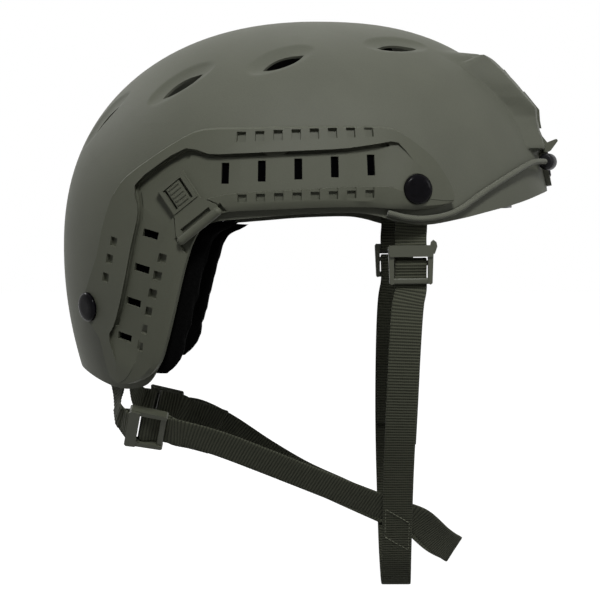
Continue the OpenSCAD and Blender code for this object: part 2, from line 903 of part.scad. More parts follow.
// A cushion on the inside of the shell: centre and half size as bearing and height, its thickness, and how
// much its bearing turns from its middle to its upper edge
module pad(bearing, z, half_bearing, half_z, thick, slant = 0) {
    rows = [
        for (i = [0:len(pad_rings) - 1])
            let (r = pad_rings[i])
            [for (j = [0:pad_across - 1])
                let (a = 360 * j / pad_across, k = r * square_round(a))
                dome_at(bearing + half_bearing * k * cos(a) + slant * k * sin(a), z + half_z * k * sin(a),
                    pad_out - thick * (1 - pad_rise(i, r)))]
    ];
    skin(rows);
}

module crown_cushion() {
    half = 34;
    thick = liner_h + pad_out;
    rows = [
        for (i = [0:len(pad_rings) - 1])
            let (
                r = pad_rings[i],
                w = half * r,
                d = pad_out - thick * (1 - pad_rise(i, r)),
                top = liner_h + width_level + d,
                z = top * pow(1 - pow(w / (shell_half_w + d), side_round), 1 / side_round) - width_level
            )
            [for (j = [0:pad_across - 1]) dome_at(360 * j / pad_across, z, d)]
    ];
    skin(rows);
}

module crown_pad() {
    color(near_black)
        crown_cushion();
}

module front_pad() {
    color(near_black)
        pad(0, -36.5, 24, 16, pad_t);
}

module rear_pad() {
    color(near_black)
        pad(180, -58, 24, 30, pad_t);
}

module side_cushion() {
    pad(-92, -46, 17, 26, pad_t);
}

module right_side_pad() {
    color(near_black)
        side_cushion();
}

module left_side_pad() {
    color(near_black)
        mirror([0, 1, 0])
            side_cushion();
}

module ear_cushion() {
    pad(-122.2, -129, 7.5, 33, ear_pad_t, 5);
}

module right_ear_pad() {
    color(near_black)
        ear_cushion();
}

module left_ear_pad() {
    color(near_black)
        mirror([0, 1, 0])
            ear_cushion();
}

// Headband and nape cradle

// The band lies against the pads. Its side strips run straight back and down into the cradle's arms.
band_depth = pad_out - pad_t - 0.6 - band_t / 2;
strip_h = 12;
strip_in = 41;
strip_y = shell_half_w - strip_in;
strip_dir = unit([1, 0, 0.95]);
strip_start = [-52, -strip_y, -88];
arm_len = 20;
strip_len = arm_len + cradle_travel + 12;
strip_bend = 6;
band_bearings = [0, 12, 24, 36, 48, 60, 70, 80];
band_z = -68;

function band_line() = concat(
    [strip_start - strip_dir * strip_len, strip_start - strip_dir * strip_bend, strip_start],
    [[-38, -75, -77.5], [-22, -80.5, -70.5]],
    [for (i = [len(band_bearings) - 2:-1:1]) dome_at(-band_bearings[i], band_z, band_depth)]
);

module half_band() {
    line = spline(concat(band_line(), [dome_at(0, band_z, band_depth)]), 2);
    ribbon(line, [for (p = line) [-0.68 * max(0, min(1, (-10 - p[0]) / 40)), 0, 1]], strip_h, band_t);
}

module headband() {
    color(near_black) {
        both_sides()
            half_band();
        ribbon([for (a = [-56:8:56]) dome_at(a, band_z, band_depth)], [for (a = [-56:8:56]) [0, 0, 1]], band_h, band_t + 0.02);
    }
}

function band_at(bearing, depth, z) = [dome_at(bearing, band_z, depth)[0], dome_at(bearing, band_z, depth)[1], z];

module brow_pad() {
    inner = band_depth - band_t / 2 - 0.4;
    color(near_black)
        skin([
            for (a = [-40:5:40])
                let (
                    grow = pow(max(0, 1 - pow(abs(a) / 42, 4)), 0.5),
                    half = band_h / 2 * (0.6 + 0.4 * grow)
                )
                [
                    band_at(a, inner, band_z + half), band_at(a, inner - 2 * grow - 0.5, band_z + half),
                    band_at(a, inner - 5 * grow - 0.5, band_z + half * 0.5),
                    band_at(a, inner - 5 * grow - 0.5, band_z - half * 0.5),
                    band_at(a, inner - 2 * grow - 0.5, band_z - half), band_at(a, inner, band_z - half)
                ]
        ]);
}

// The cradle: two sleeved arms joined behind the neck, with the dial's housing in the middle
arm_wall = 1.6;
arm_gap = 0.4;
arm_end = strip_start - strip_dir * (strip_len - arm_len - 4);
cradle_z = -147;
cradle_in = 24.8;
cradle_x = back_x(cradle_z, 0) + cradle_in;
cradle_t = 3;

module strip_frame(p) {
    up = unit([-strip_dir[2], 0, strip_dir[0]]);
    multmatrix([
        [strip_dir[0], 0, up[0], p[0]],
        [0, 1, 0, p[1]],
        [strip_dir[2], 0, up[2], p[2]],
        [0, 0, 0, 1]
    ])
        children();
}

module arm() {
    inner_t = band_t + 2 * arm_gap;
    inner_h = strip_h + 2 * arm_gap;
    strip_frame(arm_end)
        difference() {
            translate([-arm_len, -inner_t / 2 - arm_wall, -inner_h / 2 - arm_wall])
                cube([arm_len, inner_t + 2 * arm_wall, inner_h + 2 * arm_wall]);
            translate([-arm_len - 1, -inner_t / 2, -inner_h / 2])
                cube([arm_len + 2, inner_t, inner_h]);
        }
}

module cradle_wing() {
    arm_in = band_t / 2 + arm_gap + arm_wall + 0.6;
    start = arm_end - strip_dir * arm_len;
    points = spline([
        start + [4, arm_in, 4], start + [-4, arm_in + 1, -6],
        [cradle_x + 11, 11 - strip_y, cradle_z + 11], [cradle_x + 4, 26 - strip_y, cradle_z + 4],
        [cradle_x - 2.5, -20, cradle_z], [cradle_x - 3, 0, cradle_z]
    ], 3);
    ribbon(points, [for (p = points) [0.5 * p[1] / 70, 0, 1]], 15, cradle_t);
}

module nape_cradle() {
    color(near_black)
        union() {
            both_sides() {
                arm();
                cradle_wing();
            }
            translate([cradle_x - 9, 0, cradle_z])
                rotate([0, 90, 0])
                    cylinder(d = dial_d - 4, h = 8);
        }
}

module nape_pad() {
    color(near_black)
        skin([
            for (i = [0:10])
                let (
                    a = 36 * (i - 5) / 5,
                    grow = pow(max(0, 1 - pow(abs(a) / 38, 3)), 0.5),
                    x = cradle_x - 0.7 + a * a * 0.006,
                    half = 9 + 9 * grow,
                    thick = 2 + 6 * grow
                )
                [
                    [x, a, cradle_z - half], [x + thick * 0.6, a, cradle_z - half * 0.96],
                    [x + thick, a, cradle_z - half * 0.5], [x + thick * 0.85, a, cradle_z],
                    [x + thick, a, cradle_z + half * 0.5], [x + thick * 0.6, a, cradle_z + half * 0.96],
                    [x, a, cradle_z + half]
                ]
        ]);
}

dial_grips = 18;

module dial_knob() {
    color(near_black)
        translate([cradle_x - 9 - 0.3 - dial_t, 0, cradle_z])
            rotate([0, 90, 0])
                difference() {
                    union() {
                        cylinder(d1 = dial_d - 3, d2 = dial_d, h = 2);
                        translate([0, 0, 2])
                            cylinder(d = dial_d, h = dial_t - 2);
                    }
                    for (i = [0:dial_grips - 1])
                        rotate(360 * i / dial_grips)
                            translate([dial_d / 2 + 0.6, 0, -1])
                                cylinder(d = 3.4, h = dial_t + 2, $fn = 20);
                }
}

// Harness

// Places along the webbing are written as a point and the direction of the webbing's width.
function under_bolt(x, z) = side_at(x, z, 0) - side_out(x, z) * web_seat;
function flip(v) = [v[0], -v[1], v[2]];

module webbing(line, steps) {
    ribbon(spline([for (h = line) h[0]], steps), spline([for (h = line) h[1]], steps), web_w, web_t);
}

// One strap from side to side: the half on the right is mirrored over the middle. The far half may sag by a
// share of a length at each of its places.
module whole_webbing(half, steps, sag = [0, 0, 0], shares = []) {
    line = [for (h = half) h[0]];
    far = [for (i = [0:len(line) - 1]) line[i] + sag * (i < len(shares) ? shares[i] : 0)];
    points = spline(line, steps);
    far_points = spline(far, steps);
    wide = spline([for (h = half) h[1]], steps);
    last = len(points) - 2;
    ribbon(
        concat(points, [for (i = [last:-1:0]) flip(far_points[i])]),
        concat(wide, [for (i = [last:-1:0]) -flip(wide[i])]),
        web_w, web_t
    );
}

module bolt_hole_through_webbing(b) {
    on_side(b[0], b[1], 0)
        cylinder(d = bolt_d + 1, h = 60, center = true, $fn = 24);
}

// A ladder buckle. Local X runs across the webbing, Y up along it and Z outwards. The loop is sewn round the
// upper bar, and the webbing comes up behind the lower bar and turns back over the middle one.
buckle_rail = 2.9;
buckle_in = web_w + 1.2;
bar_r = bar_t / 2;
loop_y = buckle_len / 2 - 1.8;
loop_bar_h = 2.6;
middle_y = 0.9;
middle_h = 2.6;
middle_out = 0.55;
middle_gap = 0.7;
lower_y = 1.9 - buckle_len / 2;
lower_h = 3.2;
turn_y = middle_y + middle_h / 2 + web_gap + web_t / 2;
front_layer = middle_out + middle_gap + web_t / 2;
back_layer = middle_out - bar_t - web_gap - web_t / 2;
loop_layer = bar_r + web_gap + web_t / 2;
loop_turn_y = loop_y - loop_bar_h / 2 - web_gap - web_t / 2;
tab_y = buckle_len / 2 - 5.8;
tab_out = loop_layer + web_t / 2 + 0.8;

// Where the webbing runs in the buckle: along it and outwards
web_path = [
    [-10, back_layer], [-4, back_layer], [turn_y - 3.4, back_layer], [turn_y - 0.9, back_layer * 0.86],
    [turn_y, 0], [turn_y - 0.9, front_layer * 0.86], [turn_y - 3.4, front_layer], [turn_y - 6.4, 0.7],
    [lower_y + 1.5, 0], [lower_y - 4.5, 0]
];
loop_path = [
    [loop_y + 6, loop_layer * 0.8], [loop_y + 1, loop_layer], [loop_turn_y + 0.9, loop_layer * 0.86],
    [loop_turn_y, 0], [loop_turn_y + 0.9, -loop_layer * 0.86], [loop_y + 1, -loop_layer],
    [loop_y + 6, web_t / 2 - 0.3 - loop_layer]
];

// A buckle's frame: its middle, and the directions across, up and out
function frame_of(at, across, up) =
    let (u = unit(up), a = unit(across - u * (across * u))) [at, a, u, cross(a, u)];
function in_frame(f, y, z) = f[0] + f[2] * y + f[3] * z;
function path_in(f, path) = [for (p = path) [in_frame(f, p[0], p[1]), f[1]]];

module on_frame(f) {
    multmatrix([
        [f[1][0], f[2][0], f[3][0], f[0][0]],
        [f[1][1], f[2][1], f[3][1], f[0][1]],
        [f[1][2], f[2][2], f[3][2], f[0][2]],
        [0, 0, 0, 1]
    ])
        children();
}

module buckle_bar(y, out, tall, thick) {
    translate([0, y, out])
        rotate([0, 90, 0])
            linear_extrude(height = buckle_in + 2, center = true)
                hull()
                    for (side = [-1, 1])
                        translate([0, side * (tall - thick) / 2])
                            circle(d = thick, $fn = 20);
}

module ladder_buckle() {
    half = buckle_len / 2;
    for (side = [-1, 1])
        scale([side, 1, 1])
            translate([0, 0, middle_out - bar_t])
                linear_extrude(height = 2 * bar_t + front_layer - middle_out)
                    polygon([
                        [buckle_in / 2, -half + 0.6], [buckle_in / 2 + buckle_rail - 1.6, -half],
                        [buckle_in / 2 + buckle_rail - 0.7, -half + 0.8], [buckle_in / 2 + buckle_rail, half - 1],
                        [buckle_in / 2 + buckle_rail - 0.8, half], [buckle_in / 2, half - 0.5]
                    ]);
    translate([0, 0, tab_out])
        linear_extrude(height = bar_t - 0.3)
            polygon([
                [-buckle_in / 2 - buckle_rail + 0.6, tab_y], [buckle_in / 2 + buckle_rail - 0.6, tab_y],
                [buckle_in / 2 + buckle_rail - 0.2, half - 1], [buckle_in / 2 + buckle_rail - 1.2, half],
                [1.2 - buckle_in / 2 - buckle_rail, half], [0.2 - buckle_in / 2 - buckle_rail, half - 1]
            ]);
    for (side = [-1, 1])
        scale([side, 1, 1])
            translate([buckle_in / 2 + 0.9, tab_y, 0])
                cube([buckle_rail - 1.5, half - 1.2 - tab_y, tab_out + 0.4]);
    buckle_bar(loop_y, 0, loop_bar_h, bar_t);
    buckle_bar(middle_y, middle_out - bar_t / 2, middle_h, bar_t);
    buckle_bar(lower_y, web_t / 2 + web_gap + bar_t / 2, lower_h, bar_t);
}

module buckle_hook() {
    translate([buckle_in / 2, buckle_len / 2 - 3, 0.4])
        linear_extrude(height = bar_t)
            polygon([
                [0.4, -1], [buckle_rail + 0.6, -1.5], [buckle_rail + 1.9, 2.2], [buckle_rail + 1.5, 4.4],
                [buckle_rail, 5.6], [buckle_rail - 1.3, 4.6], [buckle_rail - 1.6, 3], [0.4, 2.4]
            ]);
}

// Front: the loop hangs from the front bolt, and one webbing runs from buckle to buckle under the chin.
front_frame = frame_of([56, -88.4, -108], [1, 0, 0], [-0.01, -0.03, 1]);

module front_loop() {
    difference() {
        webbing(concat(
            [for (z = [-61.5, -66, -70.5, -79]) [under_bolt(57, z), side_along(57, z)]],
            [[[56.3, -90.9, -86], [1, 0.2, 0]]],
            path_in(front_frame, loop_path),
            [[[56.2, -88.9, -88], [1, 0.1, 0]], [[56.3, -89.2, -82], [1, 0.2, 0]]]
        ), 2);
        bolt_hole_through_webbing(bolt_places[0]);
    }
}

module right_front_loop() {
    color(web_green)
        front_loop();
}

module left_front_loop() {
    color(web_green)
        mirror([0, 1, 0])
            front_loop();
}

front_tail = [
    [[52.6, -58.5, -202], [1, 0, 0]], [[53.0, -70, -180], [1, 0, 0]], [[53.6, -80.2, -154], [1, 0, 0]],
    [[54.6, -84.6, -133], [1, 0, 0]]
];
front_run = [
    [[54.4, -88.0, -130], [1, 0, 0]], [[53.4, -86.4, -145], [1, 0, 0]], [[52.6, -79.8, -168], [1, 0, 0]],
    [[52, -68.0, -194], [1, 0, 0]], [[51.8, -52, -220], [1, 0, 0]], [[52, -35.5, -246], [1, 0, 0]],
    [[52.3, -21.5, -268], [1, 0, 0]], [[52.8, -8.5, 3.6 - chin_drop], [1, 0, 0]],
    [[53, 0, web_t / 2 - chin_drop], [1, 0, 0]]
];

module chin_strap() {
    color(web_green)
        whole_webbing(concat(front_tail, path_in(front_frame, web_path), front_run), 2);
}

module front_buckle() {
    on_frame(front_frame) {
        ladder_buckle();
        buckle_hook();
    }
}

module right_front_buckle() {
    color(web_green)
        front_buckle();
}

module left_front_buckle() {
    color(web_green)
        mirror([0, 1, 0])
            front_buckle();
}

// Rear: the loop hangs from the rear bolt, and one webbing runs from buckle to buckle round the front of the chin.
rear_frame = frame_of([-79.6, -64.6, -192.3], [0.16, -0.52, 0.84], [-1, -0.05, 0.19]);

module rear_loop() {
    difference() {
        webbing(concat(
            [for (h = [[-106, -121.5], [-105.5, -129.5], [-104, -138]])
                [under_bolt(h[0], h[1]), side_along(h[0], h[1])]],
            [
                [[-98.8, -50.0, -150], [0.7, -0.7, 0]], [[-96.6, -50, -163], [0.62, -0.78, 0]],
                [[-95, -53.2, -175], [0.4, -0.85, 0.2]], [[-95, -58.8, -185], [0.2, -0.7, 0.65]]
            ],
            path_in(rear_frame, concat(
                [[loop_y + 2.2, loop_layer * 0.62], [loop_y, loop_layer]],
                [for (i = [2:len(loop_path) - 2]) loop_path[i]]
            )),
            [[[-94.2, -62.8, -187], [0.2, -0.7, 0.65]], [[-95.2, -59.0, -180.5], [0.3, -0.8, 0.4]]]
        ), 2);
        bolt_hole_through_webbing(bolt_places[1]);
    }
}

module right_rear_loop() {
    color(web_green)
        rear_loop();
}

module left_rear_loop() {
    color(web_green)
        mirror([0, 1, 0])
            rear_loop();
}

nape_wide = [0.4, -0.5, 0.76];
nape_dir = unit([0.9, 0.24, -0.36]);
join_at = [52, -38.3, -241.6] + [0, 0.844, 0.536] * (web_t + 0.5);
nape_tail = [[[-45, -57, -201.5], nape_wide], [[-55, -60.5, -198.4], nape_wide], [[-64, -62.3, -196.2], nape_wide]];
nape_run = [
    [[-58, -65.3, -196.6], [0.25, -0.52, 0.82]], [[-42, -62.5, -201.5], [0.32, -0.5, 0.8]],
    [[-21, -57.6, -210], [0.34, -0.5, 0.79]],
    [[0, -51.7, -219], [0.37, -0.5, 0.78]], [[21, -45.9, -228], [0.39, -0.49, 0.77]],
    [join_at - 13 * nape_dir, [0.41, -0.49, 0.75]], [join_at, [0.41, -0.49, 0.75]],
    [join_at + 12 * nape_dir, [0.42, -0.46, 0.76]], [[75, -20, -257.5], [0.48, -0.3, 0.8]],
    [[83, -8, -264.5], [0.53, -0.1, 0.83]], [[85, 0, -266.4], [0.55, 0, 0.84]]
];

// The far half hangs lower, along the chin strap, as in the photograph.
chin_dir = [0, 0.536, -0.844];
nape_sag = 12;
sag_shares = concat(
    [for (p = concat(nape_tail, web_path)) 0],
    [0, 0.3, 0.75, 1, 1, 1, 1, 0.9, 0.55, 0.15, 0]
);

module nape_strap() {
    color(web_green)
        whole_webbing(concat(nape_tail, path_in(rear_frame, web_path), nape_run), 2,
            chin_dir * nape_sag, sag_shares);
}

module rear_buckle() {
    on_frame(rear_frame)
        ladder_buckle();
}

module right_rear_buckle() {
    color(web_green)
        rear_buckle();
}

module left_rear_buckle() {
    color(web_green)
        mirror([0, 1, 0])
            rear_buckle();
}

shell();
right_rail();
left_rail();
right_strap_clip();
left_strap_clip();
front_bolts();
rear_bolts();
front_bolt_nuts();
rear_bolt_nuts();
shroud();
shroud_screws();
shroud_nuts();
right_bungee();
left_bungee();
right_cord_bead();
left_cord_bead();
crown_pad();
front_pad();
rear_pad();
right_side_pad();
left_side_pad();
right_ear_pad();
left_ear_pad();
headband();
brow_pad();
nape_cradle();
nape_pad();
dial_knob();
right_front_loop();
left_front_loop();
right_rear_loop();
left_rear_loop();
chin_strap();
nape_strap();
right_front_buckle();
left_front_buckle();
right_rear_buckle();
left_rear_buckle();
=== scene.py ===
"""Combat helmet: a moulded shell with side rails, a front shroud, a padded liner and a webbing harness.

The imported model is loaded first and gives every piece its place. Each operator makes one piece or one group of
like pieces. Lengths in the sections below are millimetres, and meshes are metres.
"""
import json
import math
from contextlib import contextmanager

import bpy
from mathutils import Matrix, Vector


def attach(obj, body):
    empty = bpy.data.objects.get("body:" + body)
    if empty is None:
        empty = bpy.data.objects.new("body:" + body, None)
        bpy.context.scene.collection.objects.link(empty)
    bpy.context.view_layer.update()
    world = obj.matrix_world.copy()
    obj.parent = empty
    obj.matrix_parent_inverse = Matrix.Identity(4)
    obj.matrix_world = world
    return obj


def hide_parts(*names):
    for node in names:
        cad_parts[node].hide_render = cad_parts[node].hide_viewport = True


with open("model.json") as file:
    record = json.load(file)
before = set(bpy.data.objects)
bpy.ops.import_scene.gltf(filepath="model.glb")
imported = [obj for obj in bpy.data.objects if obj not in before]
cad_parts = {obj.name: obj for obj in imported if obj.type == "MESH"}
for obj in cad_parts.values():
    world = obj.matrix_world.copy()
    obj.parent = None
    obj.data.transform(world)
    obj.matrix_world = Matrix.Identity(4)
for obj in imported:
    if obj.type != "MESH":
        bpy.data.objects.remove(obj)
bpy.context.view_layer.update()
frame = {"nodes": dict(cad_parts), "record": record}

bl_info = {
    "name": "Combat Helmet",
    "version": (1, 0, 0),
    "blender": (4, 5, 0),
    "location": "View3D > Sidebar > Helmet",
    "description": "Models a high-cut helmet with rails, shroud, liner and chin harness",
    "category": "Add Mesh",
}

MM = 0.001
ROOT = "helmet"


# Colours and settings


def linear(code):
    """A hex sRGB colour as linear red, green and blue."""
    parts = [int(code[i:i + 2], 16) / 255 for i in (1, 3, 5)]
    return tuple(c / 12.92 if c <= 0.04045 else ((c + 0.055) / 1.055) ** 2.4 for c in parts)


def length(name, description, default):
    return bpy.props.FloatProperty(name=name, description=description, default=default, unit="LENGTH", precision=4)


def colour(name, description, code):
    return bpy.props.FloatVectorProperty(
        name=name, description=description, default=linear(code), subtype="COLOR", min=0, max=1)


class HelmetShellSizes(bpy.types.PropertyGroup):
    crown: length("Crown", "Height of the shell's top above the head", 0.023)
    half_width: length("Half width", "Half of the shell's widest outer width", 0.107)
    front: length("Front reach", "Reach of the shell's front from the crown axis", 0.126)
    back: length("Back reach", "Reach of the shell's back from the crown axis", 0.140)
    wall: length("Wall", "Thickness of the moulded wall", 0.003)
    vent_length: length("Vent length", "Length of a side vent", 0.026)
    vent_width: length("Vent width", "Width of a side vent", 0.009)
    scoop_depth: length("Scoop depth", "Depth of the scoop round a vent", 0.0019)


class HelmetHarnessSizes(bpy.types.PropertyGroup):
    webbing_width: length("Webbing width", "Width of the webbing", 0.016)
    webbing_thickness: length("Webbing thickness", "Thickness of the webbing", 0.0012)
    rib_pitch: length("Rib pitch", "Distance between the weave's ribs", 0.00165)
    rib_depth: length("Rib depth", "Depth of the grooves between ribs", 0.0003)
    chin_drop: length("Chin drop", "Lowest point of the chin strap below the origin", 0.286)
    cord_diameter: length("Cord diameter", "Diameter of the elastic cords", 0.003)


class HelmetLinerSizes(bpy.types.PropertyGroup):
    cloth_cell: length("Cloth cell", "Size of a cell in the covers' simulated cloth", 0.0045)
    thin_cell: length("Thin cell", "The same on the thin pads at the brow and the ears", 0.0025)
    swell: length("Swell", "The most that a cover swells", 0.004)
    slack: length("Slack", "How much smaller a cover starts than its foam", 0.0012)


class HelmetFinishes(bpy.types.PropertyGroup):
    shell: colour("Shell", "Olive of the moulded shell", "#5E6055")
    rail: colour("Rails", "Olive of the rails, shroud and clips", "#56584C")
    webbing: colour("Webbing", "Olive of the woven webbing", "#4A4C3F")
    buckle: colour("Buckles", "Olive of the ladder buckles", "#4C4E42")
    cord: colour("Cord", "Olive of the braided cord", "#66685C")
    thread: colour("Thread", "Pale olive of the sewing thread", "#7A7C6C")
    black: colour("Black nylon", "Black of the headband, cradle and beads", "#141416")
    cover: colour("Pad covers", "Black of the knitted pad covers", "#060606")
    bolt: colour("Bolts", "Black of the oxidised bolts", "#070609")


# Materials


def add(tree, kind, inputs=None, **settings):
    """Adds a shader node, sets its properties, and fills or links its inputs."""
    made = tree.nodes.new("ShaderNode" + kind)
    for name, value in settings.items():
        setattr(made, name, value)
    for socket, value in (inputs or {}).items():
        if isinstance(value, bpy.types.NodeSocket):
            tree.links.new(value, made.inputs[socket])
        else:
            made.inputs[socket].default_value = value
    return made


def shade(rgb, factor):
    return tuple(min(1.0, c * factor) for c in rgb) + (1.0,)


class Finish:
    """A material in the making: each method adds a node and gives back its output."""

    def __init__(self, name):
        self.material = bpy.data.materials.new(name)
        self.material.use_nodes = True
        self.tree = self.material.node_tree
        self.tree.nodes.clear()
        place = add(self.tree, "TexCoord")
        self.at, self.uv = place.outputs["Object"], place.outputs["UV"]

    def noise(self, cell_mm, detail, roughness=0.5):
        return add(self.tree, "TexNoise", {
            "Vector": self.at, "Scale": 1.0 / (cell_mm * MM), "Detail": detail, "Roughness": roughness}).outputs["Fac"]

    def cells(self, cell_mm):
        return add(self.tree, "TexVoronoi", {"Vector": self.at, "Scale": 1.0 / (cell_mm * MM)}).outputs["Distance"]

    def bands(self, apart_cm, direction, inputs):
        """Waves this far apart on a UV map in centimetres."""
        scale = 2 * math.pi / 20 / apart_cm
        return add(self.tree, "TexWave", {"Vector": self.uv, "Scale": scale, **inputs},
                   bands_direction=direction).outputs["Fac"]

    def math(self, operation, *values):
        return add(self.tree, "Math", dict(enumerate(values)), operation=operation).outputs[0]

    def spread(self, value, low, high, to_low=0.0, to_high=1.0):
        return add(self.tree, "MapRange", {
            "Value": value, "From Min": low, "From Max": high, "To Min": to_low, "To Max": to_high}).outputs["Result"]

    def tint(self, share, rgb, dark, light):
        """A colour that runs from a darker to a lighter shade of itself."""
        return add(self.tree, "Mix", {0: share, 6: shade(rgb, dark), 7: shade(rgb, light)},
                   data_type="RGBA").outputs[2]

    def bump(self, height, strength, depth_mm):
        return add(self.tree, "Bump", {
            "Height": height, "Strength": strength, "Distance": depth_mm * MM}).outputs["Normal"]

    def done(self, tint, roughness, inputs):
        surface = add(self.tree, "BsdfPrincipled", {"Base Color": tint, "Roughness": roughness, **inputs})
        add(self.tree, "OutputMaterial", {"Surface": surface.outputs["BSDF"]})
        return self.material


def moulded_plastic(name, rgb, grain_mm, roughness, relief_mm, mottle=0.07, mirror=0.2):
    """Plastic from a spark-eroded mould: matt, with a fine even grain and a faint cloudiness from the flow."""
    made = Finish(name)
    grain = made.noise(grain_mm, 2.0, 0.6)
    flow = made.noise(28.0, 3.0)
    tint = made.tint(made.spread(made.math("ADD", grain, flow), 0.7, 1.3), rgb, 1 - mottle, 1 + mottle)
    gloss = made.spread(grain, 0.3, 0.7, roughness - 0.06, roughness + 0.06)
    return made.done(tint, gloss, {
        "IOR": 1.53, "Specular IOR Level": mirror, "Normal": made.bump(grain, 0.6, relief_mm)})


def oxidised_steel(name, rgb, roughness):
    """Steel blackened in a salt bath and oiled. The oxide hides the metal: near black, with a sharp gloss and fine
    handling marks."""
    made = Finish(name)
    marks = made.noise(2.5, 5.0, 0.7)
    tint = made.tint(made.spread(marks, 0.35, 0.65), rgb, 0.8, 1.7)
    gloss = made.spread(marks, 0.3, 0.7, roughness - 0.07, roughness + 0.1)
    return made.done(tint, gloss, {"Specular IOR Level": 0.05, "Normal": made.bump(marks, 0.25, 0.05)})


def plated_steel(name, rgb):
    """Zinc-plated steel: a grey metal with a cloudy crystal pattern."""
    made = Finish(name)
    gloss = made.spread(made.cells(1.5), 0.0, 1.0, 0.3, 0.5)
    return made.done(shade(rgb, 1), gloss, {"Metallic": 1.0})


def woven_webbing(name, rgb, rib_cm):
    """Polyester webbing in a plain weave: weft ribs across the strap, fine warp threads along it, a little sheen."""
    made = Finish(name)
    ribs = made.bands(rib_cm, "Y", {"Distortion": 0.25, "Detail": 1.0, "Detail Scale": 3.0})
    # Warp threads are 0.35 mm apart on the real webbing and are drawn at 0.6 mm, so that they show.
    warp = made.bands(0.06, "X", {"Distortion": 0.6, "Detail": 1.0})
    weave = made.math("MULTIPLY_ADD", warp, 0.3, ribs)
    height = made.math("MULTIPLY_ADD", made.noise(0.9, 2.0), 0.3, weave)
    # The colour follows the weave's height: it is painted darker in the grooves between ribs and threads, as painted
    # shade, and varies at random with the noise.
    tint = made.tint(made.spread(height, 0.15, 1.0), rgb, 0.35, 1.25)
    return made.done(tint, 0.82, {
        "Specular IOR Level": 0.15, "Sheen Weight": 0.1, "Sheen Roughness": 0.5,
        "Normal": made.bump(height, 0.7, 0.12)})


def braided_cord(name, rgb):
    """Elastic cord in a braided polyester sleeve: two sets of strands crossing at 45 degrees."""
    made = Finish(name)
    strands = []
    for turn in (45, -45):
        lay = add(made.tree, "Mapping", {"Vector": made.uv, "Rotation": (0, 0, math.radians(turn))})
        strands.append(made.bands(0.09, "X", {"Vector": lay.outputs["Vector"]}))
    braid = made.math("MAXIMUM", *strands)
    # The colour is painted darker in the gaps between the strands, as painted shade.
    return made.done(made.tint(braid, rgb, 0.6, 1.1), 0.7, {
        "Specular IOR Level": 0.2, "Sheen Weight": 0.2, "Normal": made.bump(braid, 0.6, 0.15)})


def knitted_cover(name, rgb):
    """Brushed nylon knit over foam: black, soft, with small loops and a velvet edge."""
    made = Finish(name)
    height = made.math("MULTIPLY_ADD", made.noise(0.6, 4.0), 0.6, made.cells(1.1))
    tint = made.tint(made.spread(height, 0.3, 1.1), rgb, 0.5, 1.6)
    return made.done(tint, 0.95, {
        "Specular IOR Level": 0.03, "Sheen Weight": 0.01, "Sheen Roughness": 0.6,
        "Normal": made.bump(height, 0.6, 0.3)})


def finish_of(kind):
    """The material of that kind, made the first time it is asked for."""
    found = bpy.data.materials.get(kind)
    if found:
        return found
    tones = bpy.context.scene.helmet_finishes
    rib_cm = bpy.context.scene.helmet_harness.rib_pitch * 100
    # A maker, a colour, and for plastics: grain in mm, roughness, relief in mm, mottle and mirror
    maker, *settings = {
        "textured_abs_shell": (moulded_plastic, tones.shell, 0.8, 0.62, 0.12),
        "glass_filled_nylon_rail": (moulded_plastic, tones.rail, 0.6, 0.55, 0.06),
        "acetal_buckle": (moulded_plastic, tones.buckle, 0.5, 0.45, 0.03, 0.05, 0.3),
        "black_nylon": (moulded_plastic, tones.black, 0.6, 0.4, 0.05, 0.15, 0.15),
        # A near-black plastic for the strips of painted shade behind the rail slots
        "sooty_foam": (moulded_plastic, linear("#050506"), 0.6, 0.95, 0.05, 0.2, 0.0),
        "sewing_thread": (moulded_plastic, tones.thread, 0.3, 0.7, 0.02),
        "oxidised_steel": (oxidised_steel, tones.bolt, 0.17),
        "plated_steel": (plated_steel, linear("#B4B6B8")),
        "woven_webbing": (woven_webbing, tones.webbing, rib_cm),
        "braided_cord": (braided_cord, tones.cord),
        "knitted_cover": (knitted_cover, tones.cover),
    }[kind]
    return maker(kind, *settings)


# The helmet's form, as section curves


def unit(v):
    return v.normalized()


def signed_pow(v, n):
    return math.copysign(abs(v) ** n, v)


def ramp(v, low, high):
    """0 below low, 1 above high, and a smooth step between them."""
    t = max(0.0, min(1.0, (v - low) / (high - low)))
    return t * t * (3 - 2 * t)


def between(low, high, count):
    """Even steps from one value to another."""
    return [low + (high - low) * k / count for k in range(count + 1)]


def lookup(v, table):
    """The value at v on straight lines between a table's pairs, which rise in v."""
    if v <= table[0][0]:
        return table[0][1]
    for (a, fa), (b, fb) in zip(table, table[1:]):
        if v <= b:
            return fa + (fb - fa) * (v - a) / (b - a)
    return table[-1][1]


